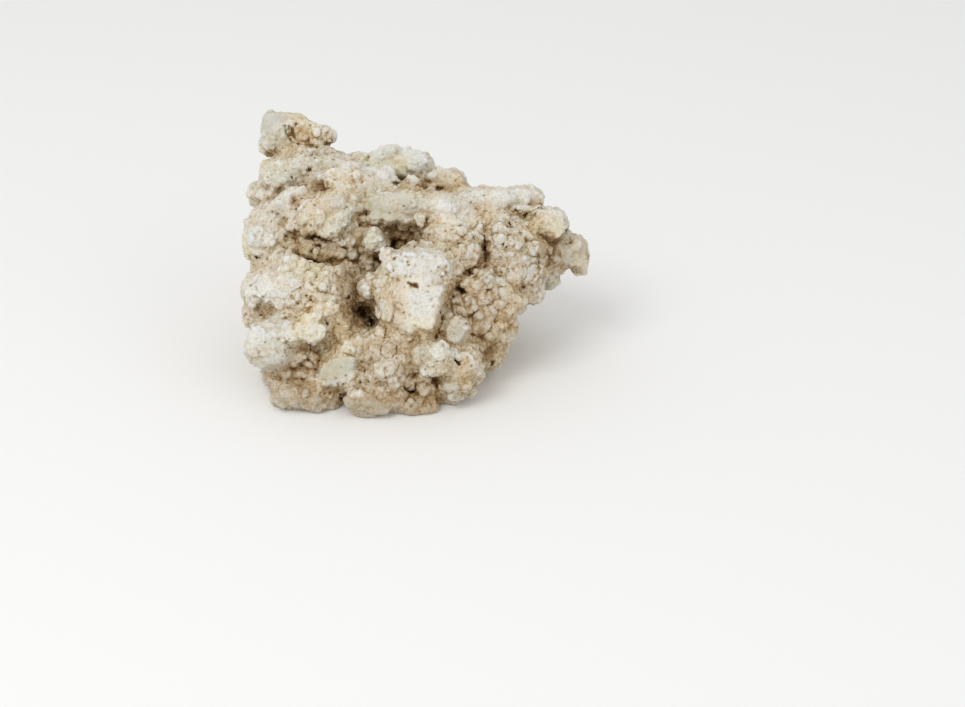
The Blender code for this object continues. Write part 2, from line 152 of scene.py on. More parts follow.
@dataclass(frozen=True)
class FaceFrame:
    """The frame in which the front's forms are placed, and the point of sight before it."""

    lean: float = math.radians(30.0)
    ground_level: float = 22.0
    distance: float = 1550.0
    across: float = 46.0
    up: float = 42.0
    moved_by: tuple[float, float] = (-1.64, -42.91)

    def turn(self) -> Matrix:
        """Return the turn from the face to the block."""
        return Matrix.Rotation(math.pi / 2.0 - self.lean, 3, "X")

    def outwards(self) -> Vector:
        """Return the way straight out of the face."""
        return self.turn() @ Vector((0.0, 0.0, 1.0))

    def offset(self) -> Vector:
        """Return where the face's zero point is in the block, in millimetres."""
        return Vector((self.moved_by[0], self.moved_by[1], -self.ground_level))

    def place(self, across: float, up: float, out: float) -> Vector:
        """Return a point of the face as a place in the block.

        Args:
            across: Millimetres across the face, as seen.
            up: Millimetres up the face, as seen.
            out: Millimetres out of the face.

        Returns:
            The place, in metres.
        """
        nearness = (self.distance - out) / self.distance
        seen_across = self.across + (across - self.across) * nearness
        seen_up = self.up + (up - self.up) * nearness
        return MM * (self.turn() @ Vector((seen_across, seen_up, out)) + self.offset())

    def eye(self) -> Vector:
        """Return the point of sight, in metres."""
        return self.place(self.across, self.up, self.distance)

    def sight(self, form: Form) -> Vector:
        """Return the way from the point of sight to a form's middle."""
        return (self.place(form.across, form.up, 0.0) - self.eye()).normalized()

    def seen(self, places: np.ndarray) -> np.ndarray:
        """Return across, up and out of each place of the block.

        Args:
            places: Rows of x, y and z, in millimetres.

        Returns:
            Rows of across, up and out, in millimetres.
        """
        turned = (places - np.array(self.offset())) @ np.array(self.turn())
        nearness = (self.distance - turned[:, 2]) / self.distance
        across = self.across + (turned[:, 0] - self.across) / nearness
        up = self.up + (turned[:, 1] - self.up) / nearness
        return np.column_stack((across, up, turned[:, 2]))

    def ways(self, places: np.ndarray) -> np.ndarray:
        """Return the way from each place to the point of sight, as rows of length 1."""
        ways = np.array(self.eye()) / MM - places
        return ways / np.linalg.norm(ways, axis=1)[:, None]

    def facing(self, places: np.ndarray, normals: np.ndarray) -> np.ndarray:
        """Return the cosine between each place's normal and its way to the point of sight."""
        return np.einsum("ij,ij->i", self.ways(places), normals)


FACE = FaceFrame()

# How strong each zone gets on the back, where drifts of it lie.
BEHIND = dict(zip(Zone, (0.8, 1.0, 0.3, 0.6, 0.5, 0.5)))
GRAINS = (Grain(2.4, 4.4, 6.5, 0.08, 0.004), Grain(1.2, 2.2, 3.3, 0.10, 0.03))
# The mesh attributes that the finish reads.
TINTS = (Zone.CHALK, Zone.STAIN_AND_SHADE, Zone.SAGE, Zone.RUST)
NOTES = tuple(zone.value for zone in TINTS) + ("pore", "fine", "crease", "form", "open")


def rows(kind: type, *table: tuple) -> tuple:
    """Return one form of a kind for each row of its numbers."""
    return tuple(kind(*row) for row in table)


# The forms of the front, in millimetres of the face; their angles are in degrees.
KNOBS = rows(
    Knob,
    # Lumps that partly fill the solid's hollows, each up to a level.
    (-74, 111, 9, 6, 8, 8, 34), (-64, 109, 8, 6, 8, 0, 33), (-54, 109, 8, 6, 8, 0, 32),
    (-44, 110, 8, 6, 8, 0, 28), (-35, 105, 6, 7, 8, 0, 27), (-31, 99, 5, 6, 8, 0, 28),
    (-66, 115, 9, 5, 7, 0, 30), (-54, 116, 9, 5, 7, 0, 30), (-43, 118, 6, 5, 7, 0, 28),
    (-1, 129, 6, 5, 9, 0, 25), (-8, 131, 5, 4, 9, 0, 24), (-16, 130, 5, 4, 9, 0, 23),
    (-20, 123, 4, 5, 9, 0, 20), (-13, 124, 5, 4, 9, 0, 17), (-5, 123, 5, 5, 9, 0, 19),
    (3, 123, 5, 5, 9, 0, 24), (6, 116, 5, 6, 9, 0, 28), (0, 115, 5, 5, 9, 0, 18),
    (-8, 115, 6, 5, 9, 0, 12), (-76, 30, 8, 6, 8, 0, 42), (-86, 29, 8, 6, 8, 0, 43),
    (-71, 38, 6, 7, 8, 0, 46), (-70, 26, 6, 6, 8, 0, 44), (-2, 24, 7, 6, 8, 0, 49),
    (7, 19, 8, 6, 8, 0, 46), (5, 27, 6, 5, 8, 0, 49), (70, 140.5, 9, 4, 8, 0, 20),
    (81, 139, 8, 4, 8, 0, 17), (90, 137, 6, 4, 8, 0, 16), (-27, 134.5, 6, 5, 8, 0, 32),
    (-17, 134.5, 7, 5, 8, 0, 34), (-7, 134, 7, 5, 8, 0, 34), (4, 134.5, 7, 5, 8, 0, 33),
    (14, 135, 6, 5, 8, 0, 35), (-27, 118.5, 9, 8, 9, 0, 34), (-31, 112, 5, 4, 7, 0, 30),
    (-75, 117, 7, 4, 7, 0, 31), (-40, 78, 4, 4, 7, 0, 37), (-100, 149, 8, 5, 7, 0, 24),
    (-107, 151, 5, 4, 6, 0, 18), (-84, 114, 5, 4, 7, 0, 35), (12, 155, 6, 4, 8, 0, 6),
    (-35, 134, 5, 6, 7, 0, 24), (-62, 178, 8, 4, 7, 0, 9), (-72, 179, 7, 4, 7, 0, 12),
    # The blunt knob at the top left.
    (-77, 190, 5, 4.5, 3), (-82, 195, 3.5, 3, 2), (-57, 190, 4.5, 4.5, 3), (-58, 181.5, 3, 2.2),
    (-66, 194, 6, 4), (-65, 186, 5, 3, 2), (-96, 203, 6, 4, 2), (-99, 184, 5, 4, 2),
    (-84, 203, 7, 3.5, 2),
    # The shoulder under it.
    (-52, 164, 9, 5, 2.5, 8), (-50, 156, 9, 4, 2.5, -6), (-44, 168, 7, 5), (-67, 173, 7, 4),
    (-60, 171, 5, 3.5, 2), (-97, 160, 6, 5, 2), (-93, 169, 6, 4, 2), (-104, 147, 5, 5),
    (-92, 146, 5, 4), (-88, 138, 5, 4), (-98, 133, 7, 4), (-78, 152, 5, 3.5, 2),
    (-71, 143, 7, 4, 3, 20), (-62, 146, 5, 3, 2.5, 30), (-37, 155, 5, 4), (-42, 147, 5, 5),
    (-37, 142, 3.5, 4.5),
    # The lip over the valley.
    (-52, 134, 9, 7, 4), (-57, 126, 6, 5, 3.5), (-46, 126, 5, 4, 3.5), (-57, 120.5, 5, 2.5, 3, -8),
    (-66, 134, 4, 6, 3), (-74, 133, 5, 4, 3), (-41, 133, 3.5, 5, 2), (-83, 130, 4, 4),
    # The upper lobe on the left.
    (-108, 122, 6, 7), (-99, 119, 5, 5, 2), (-111, 131, 4, 4, 2), (-95, 108, 5, 4),
    (-104, 111, 5, 3, 2), (-89, 115, 4, 3.5), (-83, 106, 5, 3),
    # The middle lobe on the left.
    (-100, 90, 10, 7, 2.5, 10), (-110, 82, 6, 8, 2), (-89, 84, 6, 5, 2), (-90, 76, 6, 4, 2),
    (-80, 90, 5, 3.5), (-73, 87, 4.5, 3.5), (-66, 88, 4, 3), (-68, 82, 4, 3, 2), (-62, 79, 4.5, 3),
    (-82, 77, 4, 3, 2), (-76, 74, 5, 3), (-66, 74, 4, 3.5, 2), (-56, 73, 3.5, 4), (-51, 80, 3, 4, 2),
    (-52, 67, 4, 4), (-48, 60, 4, 3), (-60, 95, 4, 3), (-52, 98, 4, 3), (-68, 98, 4, 2.5),
    (-77, 97, 4, 3, 2), (-88, 98, 5, 3.5, 2),
    # The lower lobe on the left.
    (-70, 67, 6, 5, 3), (-66, 57, 6, 5, 3), (-97, 58, 6, 5, 2), (-107, 54, 6, 7, 2), (-92, 47, 6, 4),
    (-100, 44, 6, 4), (-110, 45, 4, 5, 2), (-94, 38, 6, 4, 2.5, 15), (-105, 36, 5, 3.5, 2),
    (-84, 54, 4, 4), (-87, 62, 4, 3, 2), (-78, 60, 3, 4, 2), (-63, 47, 6, 4, 3, 25), (-56, 50, 5, 3.5),
    (-79, 41, 4.5, 4.5), (-86, 28, 6, 3, 2), (-76, 27, 5, 3, 2), (-93, 30, 4, 3, 2),
    # The feet.
    (-63, 23, 6, 4), (-91, 10, 5, 6, 2), (-80, 9, 6, 4, 2), (-68, 6, 8, 3.5, 2), (-60, 14, 5, 2.5, 2),
    (-86, 19, 5, 2.5, 2), (-38, 15, 6, 3, 2.5, -14), (-30, 9, 7, 3, 2.5, -10), (-20, 13, 4, 3),
    (-12, 8, 6, 3), (-10, 15, 4, 3, 2.5, 30), (-2, 7, 5, 3, 2), (6, 5, 5, 2.5, 2), (-24, 3, 8, 2.5, 2),
    # The crest block in the middle.
    (-12, 111, 6, 3, 1.5, 15), (3, 112, 6, 3, 1.5, -8), (17, 107, 5, 3, 1.5, -30), (-14, 104, 6, 5),
    (-3, 107, 6, 4), (7, 107, 6, 4), (17, 103, 6, 4), (-18, 97, 4, 4, 2), (-8, 98, 5, 4, 2),
    (5, 97, 6, 4.5, 2), (15, 93, 5, 4, 2), (13, 84, 6, 4.5), (5, 80, 6, 4), (-3, 80, 4, 3, 2),
    (9, 73, 6, 5), (1, 68, 5, 4, 2), (8, 63, 6, 4), (-2, 59, 4, 4), (5, 56, 4, 3, 2),
    (-13, 87, 4, 4, 2), (-15, 78, 5, 4, 2), (-17, 68, 4, 4, 2), (-10, 68, 4, 3.5, 1.5),
    # The belly under it.
    (-32, 86, 7, 7, 7, 10, 50), (-29, 92, 4, 4, 5, 0, 46), (-35, 81, 3, 2.5, 2), (-21.5, 31, 6, 6, 3.5),
    (-31, 41, 4, 3), (-38, 50, 5, 3), (-29, 51, 4, 3, 2), (-40, 44, 4, 3, 2), (-21, 55, 4, 3, 2),
    (-12, 52, 4, 3, 2), (-7, 45, 4, 3.5), (-10, 38, 4, 3), (-30, 33, 3, 3, 2), (-34, 27, 4, 3, 2),
    (-13, 28, 4, 3, 2), (-5, 31, 4, 3), (2, 37, 4, 3), (3, 45, 4, 3), (16, 43, 4.5, 6), (8, 30, 5, 3),
    (17, 31, 5, 4, 2), (26, 43, 4, 3, 2), (33, 41, 4, 3), (38, 35, 4, 5), (29, 29, 5, 3, 2),
    (24, 22, 5, 4, 2), (34, 20, 5, 5, 2), (29, 12, 5, 4, 2), (-14, 21, 4, 2.5, 2),
    (29.5, 61, 5.5, 7, 3.5, -12), (25, 53, 6, 6, 3, 20), (36, 46, 4, 3.5),
    # The field of crust on the right.
    (49, 94, 4.5, 6, 3.5), (38, 89.5, 6.5, 5, 3.5, -25), (58, 118, 4.5, 4, 3), (66, 116, 4.5, 4, 3),
    (84, 114, 6, 4.5, 3.5, -10), (76, 113, 4, 3.5, 3), (75.5, 122.5, 4, 3.5, 3), (67, 124, 4, 3.5),
    (41, 112, 5, 4.5, 3), (36, 104, 5.5, 5, 3), (29, 110, 4.5, 4), (30, 99, 4, 4), (22, 113, 4.5, 4),
    (19, 121, 5, 4), (27, 119, 4, 3.5), (35, 120, 4, 4), (43, 124, 4.5, 4, 3), (52, 126, 4.5, 4),
    (59, 126, 4, 3), (55, 109, 4, 3.5), (62, 108, 4.5, 3.5, 3), (70, 106, 4, 4),
    (79.5, 96.5, 9, 5.5, 4.5, 24), (68, 94, 6, 5), (58, 99, 4, 4), (59, 90, 4.5, 4, 3),
    (47.5, 78, 4.5, 4, 3), (51, 70, 5, 4.5, 3), (63, 82.5, 4.5, 4), (55, 83, 3.5, 3.5),
    (64, 72, 4, 3.5), (72, 77, 4, 3.5), (57, 64, 4, 4), (66, 64, 4, 3.5, 2), (29, 79, 5, 5),
    (24, 88, 4, 3, 2), (38, 78, 4, 4), (34, 71, 4, 3.5), (42, 69, 4, 4), (26, 71, 3.5, 3.5, 2),
    (40, 60, 4, 3.5), (48, 61, 4, 3.5), (43, 48.5, 5, 4, 3), (57, 52, 4, 5), (50, 54, 3.5, 3, 2),
    (50, 44, 3.5, 4, 2), (46, 102, 3, 4, 2), (43, 97, 3, 3, 2), (80, 87, 4, 4), (74, 69, 4, 4, 2),
    # The top slab and the snout.
    (92, 131, 11, 9, 4, -20), (82, 129, 6, 6, 3), (85, 128, 4.5, 4, 3), (80, 133, 4, 3, 2),
    (72, 149, 7, 5, 2), (83, 146, 5, 5, 2), (58, 146, 7, 5, 2), (43, 149, 6, 5, 2),
    (33, 148, 5, 4, 1.5), (73, 141, 4, 3, 2), (64, 137, 5, 4, 2), (103, 121, 5, 4, 2), (109, 115, 5, 4),
    (98, 114, 4, 4, 2), (107, 103.5, 8, 2.5, 2.5, -4), (117, 111, 3, 4, 2), (96, 91, 4, 4, 2),
    (18, 163, 7, 6, 2), (27, 159, 5, 4, 2),
    # The crown in the middle of the top.
    (-16, 178, 5, 6, 5, 0, 3), (-22, 176, 6, 4, 5, 0, 2), (-37.5, 173.5, 2.2, 3, 4, 0, 5),
    (-11, 165, 7, 4.5, 3), (-2, 169, 5, 4), (4, 173, 5, 4, 2), (-17, 178, 4, 3.5, 2),
    (-26, 172, 6, 5, 2), (-22, 163, 5, 4), (-10, 173, 5, 4, 2), (-30, 166, 5, 4, 2),
    (6, 161, 4, 3.5, 2), (-2, 160, 4, 3, 2),
)

PITS = rows(
    Pit, (-83, 191, 3.2, 6.5, 3.2, 28), (-81.5, 198, 2.2, 1.8, 2), (-75, 183.4, 2.6, 1, 2.5),
    (-67, 181.3, 2.6, 1, 2.5), (-83.5, 161.3, 0.9, 2, 3.5, 30), (-72.6, 163, 0.9, 0.9, 2),
    (-74.2, 156.5, 1.6, 0.8, 2), (-72.6, 167.5, 2.6, 2.2, 2), (-67.8, 175, 1.4, 0.9, 1.8),
    (-80.7, 175.4, 1.4, 0.9, 1.5), (-59.5, 156, 1.5, 3.5, 1.5), (-81.5, 146, 2.5, 3, 1.2),
    (-80.7, 140, 1.4, 0.9, 2), (-67.8, 148.5, 1, 0.9, 1.5), (-96.7, 138.5, 1.2, 0.9, 2),
    (-112, 134, 1.2, 1, 1.5), (-102, 155, 3, 1, 1.2, -30), (-56, 168.6, 1, 0.9, 1.2),
    (-42, 173.4, 3, 1.6, 2), (-67, 115.8, 4, 1.6, 3, -6), (-88, 122, 2, 1.4, 2.5),
    (-71, 111.6, 3, 1.4, 3, 30), (-80, 109.5, 2.6, 1.2, 3), (-87.9, 110.8, 1.4, 0.9, 2),
    (-107.2, 107.6, 2.6, 1.5, 2.5), (-98, 126, 1, 0.9, 1.2), (-101, 114, 1, 1, 1.2),
    (-32.5, 137.3, 2, 2.6, 3, -20), (-37.3, 128.4, 1.8, 1.8, 2), (-7.6, 142.1, 1.3, 0.8, 3, -30),
    (-13, 157.5, 3.2, 2, 4, -10), (-7.5, 159.5, 2.6, 1.3, 3, 24), (4, 155.4, 3.6, 1.5, 3, -20),
    (4.2, 164.8, 1.8, 1.6, 2), (0.2, 170, 1.6, 1.2, 1.5), (17.3, 154.3, 4, 1.2, 2.5),
    (-1.6, 88.7, 5.2, 2.4, 4.5, -8), (1.6, 87.6, 1.8, 1.3, 4.5), (-4.4, 90.5, 1.4, 1, 3),
    (18.8, 94.6, 2.4, 1.4, 1.6, 25), (9.3, 87.7, 1.6, 0.8, 1.5), (-3.3, 94.2, 1.3, 0.9, 1.8),
    (0.6, 76, 1.2, 0.8, 1.5), (12.5, 79.6, 0.8, 0.8, 1), (-74.2, 81.1, 2.2, 1.3, 2.5, -24),
    (-70.5, 78, 2.4, 0.9, 2, -30), (-83.5, 84.3, 0.9, 0.9, 1.5), (-114.5, 69, 1.8, 1.4, 2),
    (-97.5, 68.5, 1.6, 1, 2), (-101.9, 49.8, 1.3, 1, 2.2), (-93.1, 51.8, 1, 1, 1.5),
    (-85.5, 45.8, 1.8, 0.9, 2, 10), (-105.9, 42.6, 1.4, 1, 1.5), (-85.9, 66.6, 0.9, 0.9, 1.5),
    (-77.5, 66.7, 0.8, 0.8, 1.2), (-60, 62.8, 1.1, 3.2, 3, 28), (-70.2, 48.2, 1.5, 1, 3),
    (-72.6, 37.4, 1.8, 1, 3), (-65, 37, 1.2, 0.9, 2), (-50.2, 11.7, 1.8, 1.1, 3, -20),
    (-36.5, 70, 3.4, 8, 7, 35), (-29.5, 63.5, 2.8, 4.6, 9, 14), (-31.7, 57.8, 1.5, 1.5, 4),
    (-45.3, 81, 1.4, 2, 3), (-14, 106.8, 2.6, 1.2, 3, 30), (-66, 51, 0.8, 0.8, 1.2),
    (-22.9, 20.1, 1.6, 0.9, 2), (1.5, 20.5, 4, 1.8, 1.5, -35), (-31, 23, 1.3, 0.9, 1.5),
    (28.2, 36.9, 1.9, 4.2, 6, 38), (27, 41.5, 1, 0.8, 1.6), (19.7, 46.9, 1, 1, 2),
    (15, 36.5, 1.6, 0.9, 1.5), (18.5, 66, 1.5, 3, 4, -10), (31, 85.4, 5.5, 2, 4.5, -22),
    (38.4, 97, 3.2, 1.6, 4, -34), (50, 85.4, 2.6, 1, 3, -24), (47.6, 114, 1.4, 2.6, 4),
    (48.2, 105.5, 1.8, 3.2, 3.5), (59.8, 116, 1, 1.8, 2.5, -18), (73.5, 86.8, 2.6, 1.6, 4, 14),
    (64.7, 130, 1.1, 3, 4, 28), (27.6, 125.6, 3, 1, 2.5, -14), (31.4, 129.2, 2.4, 1, 2.5, 40),
    (19.5, 130, 2.4, 0.9, 1.8), (39.6, 54.7, 3, 2, 2.5), (44.9, 52.5, 1.5, 0.9, 2.5, -30),
    (52.5, 35.6, 1.6, 3, 4, -20), (90.8, 118.6, 3.2, 1.8, 4, -28), (89.5, 110.6, 2, 2.8, 3),
    (105.2, 116.6, 2, 0.8, 1.5, 40), (117.8, 107, 0.9, 2.2, 1.8, -10), (83, 104.6, 2.4, 1, 2.5, -30),
    (42.2, 140.2, 2.2, 1.2, 1.8, -30), (49, 138.4, 2.6, 1.2, 1.6, -20), (86, 142, 1, 2.4, 2.5, 20),
)
SEAMS = rows(
    Seam,
    (((-88.5, 197), (-87.5, 191.5), (-83.5, 186.5), (-77.5, 184), (-70, 183)), 1.4, 2.6),
    (((66, 138.5), (71.8, 139.3), (76, 137.4), (80.3, 138.6), (85, 141.5)), 0.9, 1.6),
    (((-71, 49), (-71.8, 43.4), (-72.6, 38), (-68.8, 35)), 1, 1.8),
    (((17.5, 70), (19, 65), (17, 59), (14.5, 52)), 1.6, 2.4),
    (((-26, 95.2), (-31.7, 97.6), (-36, 99.5)), 1.2, 1.6),
    (((46.5, 122), (47.4, 117), (47, 111), (48.6, 103), (47.2, 99)), 1.3, 2),
    (((-18, 49.5), (-13.5, 47.8), (-12.4, 43), (-15.2, 39.2), (-20, 38.8)), 0.9, 1.5),
    (((-20, 38.8), (-23.2, 42), (-23, 46.4), (-18, 49.5)), 0.9, 1.5),
)

# Soft-edged areas of the front, zone by zone.
PATCHES = {
    Zone.CHALK: rows(
        Patch, (5, 78, 14, 26), (2, 105, 25, 11, 0.9), (12, 70, 8, 17, 1.3), (-12, 173, 24, 14, 2.1),
        (-108, 120, 12, 12, 0.9), (-101, 87, 18, 12), (-98, 49, 18, 16), (-68, 60, 9, 12, 0.9),
        (-94, 160, 18, 16, 0.6), (-94, 193, 12, 15, 0.5), (-52, 134, 13, 11, 0.6),
        (-52, 165, 14, 10, 0.6), (-27, 119, 9, 9, 0.6), (80, 97, 7, 4.5, 1, 24), (16, 43, 5, 8, 0.8),
        (28, 137, 14, 8, 2.1), (62, 148, 26, 8, 0.6), (-3, 142, 32, 10, 0.5), (18, 163, 9, 8, 0.9),
        (-21.5, 31, 5.5, 6, 0.7), (107, 105, 8, 2.4, 0.7, -4), (94, 134, 9, 6, 0.5),
        (33, 34, 8, 9, 0.4), (-92, 9, 9, 9, 0.5), (28, 58, 8, 8, 0.5), (-46, 37, 8, 4, 0.5, 32),
    ),
    Zone.CRUST: rows(
        Patch, (52, 92, 40, 44), (-72, 188, 16, 9, 0.8), (-68, 80, 18, 20, 0.8), (-10, 34, 40, 22, 0.4),
        (-46, 104, 38, 14, 0.7), (32, 30, 20, 22, 0.4),
    ),
    Zone.SLAB: rows(
        Patch, (-14, 171, 15, 9, 0.5), (-19, 142.5, 17, 10, 1, 3), (12, 142, 12, 8, 0.6, -4),
        (60, 147, 30, 8, 0.9), (-18, 44, 7, 7, 0.9), (-52, 31, 16, 9, 1.6, 32),
        (27.5, 57, 6.5, 9.5, 1.5, -12), (-106, 88, 9, 8, 1, 20), (-103, 50, 9, 7, 1, -15),
        (2, 87, 18, 26, 1, 4), (110, 109, 12, 9, 0.8, -20), (80, 97, 8, 5, 1.4, 24),
        (-92, 200, 12, 8, 0.6), (18, 163, 9, 8, 0.6), (93, 132, 12, 9, 0.5),
    ),
    # Brown stains in hollows and under overhangs, partly painted shade there, and painted shadow along
    # the foot, darker towards the bottom.
    Zone.STAIN_AND_SHADE: rows(
        Patch, (-78, 117, 15, 9, 0.5, 10), (-45, 108, 24, 8, 0.5), (-8, 122, 14, 12, 0.5),
        (-46, 91, 8, 14, 0.8, 15), (-39, 69, 8, 11, 1, 30), (54, 86, 36, 38, 0.3),
        (-18, 38, 24, 14, 0.35), (30, 22, 20, 18, 0.4), (-96, 38, 22, 8, 0.4), (-76, 38, 12, 11, 0.7),
        (-86, 27, 16, 5, 0.7), (-106, 69, 10, 5, 0.4), (-62, 155.7, 7, 5, 0.8), (-81, 146, 4, 5, 0.6),
        (-74, 80, 6, 3, 0.7, -24), (-48, 6, 12, 6, 0.8), (2, 20, 10, 6, 0.7, -30),
        (-12, 6, 40, 11, 0.9), (-76, 9, 28, 13, 0.8), (17, 60, 4, 10, 0.8, -16),
        (32, 85, 9, 4, 0.9, -24), (48, 108, 5, 12), (40, 96, 6, 3, 0.5, -30), (91, 115, 6, 8, 1.3, -20),
        (106, 110, 14, 9, 0.3, -30), (98, 101, 14, 5, 0.6, -10), (42, 55, 8, 10, 0.6),
        (55, 42, 10, 14, 0.7), (76, 72, 10, 8, 0.5), (-36, 133, 6, 8, 0.5, -20),
        (3, 156, 18, 4, 0.6, -8), (-79, 192, 9, 6, 0.6, -36), (-18, 44, 6, 6, 0.4),
    ),
    Zone.SAGE: rows(
        Patch, (-16, 142, 19, 10, 0.7), (-53, 30, 14, 8, 1, 32), (-96, 195, 9, 13, 0.7),
        (-14, 166, 22, 10, 0.3), (-100, 150, 12, 14, 0.35), (94, 90, 8, 7, 0.8), (28, 58, 8, 8, 0.4),
        (-100, 34, 12, 5, 0.4), (-90, 6, 12, 6, 0.4), (-30, 4, 26, 6, 0.5),
    ),
    Zone.RUST: rows(
        Patch, (45, 139, 12, 5, 0.7, -10), (-77, 190, 8, 6, 0.6, -30), (-14, 74, 8, 16, 0.4),
        (45, 70, 24, 18, 0.4), (-22, 48, 18, 9, 0.4), (-60, 152, 18, 12, 0.3), (106, 116, 10, 8, 0.4),
        (18, 163, 9, 8, 0.4),
    ),
}

def read_rows(points: bpy.types.bpy_prop_collection, name: str) -> np.ndarray:
    """Return three numbers of each of a mesh's points.

    Args:
        points: The mesh's vertices or their normals.
        name: What is read of each.

    Returns:
        Rows of three numbers.
    """
    flat = np.empty(len(points) * 3, dtype=np.float32)
    points.foreach_get(name, flat)
    return flat.reshape(-1, 3).astype(np.float64)


def read_places(mesh: bpy.types.Mesh) -> np.ndarray:
    """Return the vertices of a mesh as rows of x, y and z, in millimetres."""
    return read_rows(mesh.vertices, "co") / MM


def write_places(mesh: bpy.types.Mesh, places: np.ndarray) -> None:
    """Move the vertices of a mesh to rows of x, y and z, in millimetres."""
    mesh.vertices.foreach_set("co", (places * MM).astype(np.float32).ravel())
    mesh.update()


def soft_step(values: np.ndarray, low: float, high: float) -> np.ndarray:
    """Return 0 below low, 1 above high, and a smooth rise between them."""
    share = np.clip((values - low) / (high - low), 0.0, 1.0)
    return share * share * (3.0 - 2.0 * share)


def hold(depth: np.ndarray, margin: float) -> np.ndarray:
    """Return depths with those under a margin bent to stay above 0."""
    held = margin * np.exp(np.minimum(depth / margin, 1.0) - 1.0)
    return np.where(depth < margin, held, depth)


@dataclass(frozen=True)
class Clouds:
    """A cloudy pattern in space, from about -1 to 1."""

    size: float
    seed: int
    octaves: int = 3
    fade: float = 0.5

    def over(self, places: np.ndarray) -> np.ndarray:
        """Return the pattern's number at each place.

        Args:
            places: Rows of x, y and z, in millimetres.

        Returns:
            One number for each row.
        """
        turn = np.array(Matrix.Rotation(0.7, 3, Vector((0.6, 0.5, 0.62))))
        spots = places / self.size
        total = np.zeros(len(places))
        weight = 1.0
        for octave in range(self.octaves):
            total += weight * self.layer(spots, self.seed + octave)
            spots = 2.03 * spots @ turn
            weight *= self.fade
        return total

    def layer(self, spots: np.ndarray, seed: int) -> np.ndarray:
        """Blend the random numbers of a lattice between its points.

        Args:
            spots: Rows of x, y and z, in cells of the lattice.
            seed: The seed of its numbers.

        Returns:
            One number from -1 to 1 for each row.
        """
        table = np.random.default_rng(seed).uniform(-1.0, 1.0, (TABLE, TABLE, TABLE))
        base = np.floor(spots).astype(np.int32)
        share = spots - base
        share = share * share * (3.0 - 2.0 * share)
        total = np.zeros(len(spots))
        for corner in product((0, 1), repeat=3):
            cell = (base + corner) & (TABLE - 1)
            weight = np.prod(np.where(corner, share, 1.0 - share), axis=1)
            total += weight * table[cell[:, 0], cell[:, 1], cell[:, 2]]
        return total


@dataclass(frozen=True)
class Scatter:
    """Random points in space, on which round heads, cobbles and pores are centred."""

    size: float
    seed: int

    def over(self, places: np.ndarray) -> tuple[np.ndarray, np.ndarray, np.ndarray]:
        """Measure how each place lies among the points.

        Args:
            places: Rows of x, y and z, in millimetres.

        Returns:
            How far the nearest point is and the next one, in sizes, and the nearest one's
            own number from 0 to 1.
        """
        table = np.random.default_rng(self.seed).random((TABLE, TABLE, TABLE, 4))
        spots = places / self.size
        base = np.floor(spots).astype(np.int32)
        nearest = np.full(len(spots), 9.0)
        second = np.full(len(spots), 9.0)
        own = np.zeros(len(spots))
        for corner in product((-1, 0, 1), repeat=3):
            cell = base + corner
            inside = cell & (TABLE - 1)
            point = table[inside[:, 0], inside[:, 1], inside[:, 2]]
            gap = spots - cell - point[:, :3]
            distance = np.sqrt(np.einsum("ij,ij->i", gap, gap))
            closer = distance < nearest
            second = np.where(closer, nearest, np.minimum(second, distance))
            own = np.where(closer, point[:, 3], own)
            nearest = np.where(closer, distance, nearest)
        return nearest, second, own


# The patterns that the skin's relief follows, and those that make edges uneven.
SWELLS = Clouds(9.0, 21, 3, 0.6)
LUMPS = Clouds(3.0, 70, 3, 0.6)
CRUMBS = Clouds(2.8, 50, 3, 0.75)
COBBLED = Clouds(15.0, 140, 2)
ZONE_EDGE = Clouds(7.0, 3, 2)
SLAB_EDGE = Clouds(6.0, 130, 3, 0.6)
PIT_EDGE = Clouds(2.2, 40, 3, 0.7)


def bend(places: np.ndarray, size: float, seed: int) -> np.ndarray:
    """Return places moved about by clouds of a size, to make a pattern of them uneven."""
    moves = [Clouds(size, seed + axis, 2).over(places) for axis in range(3)]
    return places + 0.3 * size * np.column_stack(moves)


def heads(places: np.ndarray, size: float, seed: int) -> np.ndarray:
    """Return the heights, from 0 to 1, of round heads of a size."""
    nearest = Scatter(size, seed).over(bend(places, 0.5 * size, seed + 20))[0]
    return np.sqrt(np.clip(1.0 - (nearest / 0.85) ** 2, 0.0, 1.0))


def cobbles(places: np.ndarray, size: float, seed: int) -> np.ndarray:
    """Measure flat-topped cobbles with creases between them.

    Args:
        places: Rows of x, y and z, in millimetres.
        size: The cobbles' spacing, in millimetres.
        seed: The seed of their middles.

    Returns:
        Their height, from 0 to about 1, at each place.
    """
    nearest, second, own = Scatter(size, seed).over(bend(places, 0.6 * size, seed + 20))
    top = 0.75 + 0.25 * np.sqrt(np.clip(1.0 - nearest**2, 0.0, 1.0))
    return soft_step(second - nearest, 0.0, 0.32) * top * (0.55 + 0.6 * own)


def pores(places: np.ndarray, size: float, seed: int) -> np.ndarray:
    """Return the depths, from 0 to 1, of scattered round pores of many sizes."""
    gap, _, own = Scatter(size, seed).over(bend(places, 2.0, 100))
    return np.clip(1.0 - (gap / (0.05 + 0.25 * own)) ** 2, 0.0, 1.0) * (own > 0.55)


def within(seen: np.ndarray, form: Knob | Pit | Patch) -> np.ndarray:
    """Measure how far each seen place is from a form's middle.

    Args:
        seen: Rows of across, up and out, in millimetres.
        form: The form.

    Returns:
        One number for each row, 1 at the form's edge.
    """
    turn = math.radians(form.turn)
    across = seen[:, 0] - form.across
    up = seen[:, 1] - form.up
    along = across * math.cos(turn) + up * math.sin(turn)
    aside = up * math.cos(turn) - across * math.sin(turn)
    return np.hypot(along / form.half_across, aside / form.half_up)


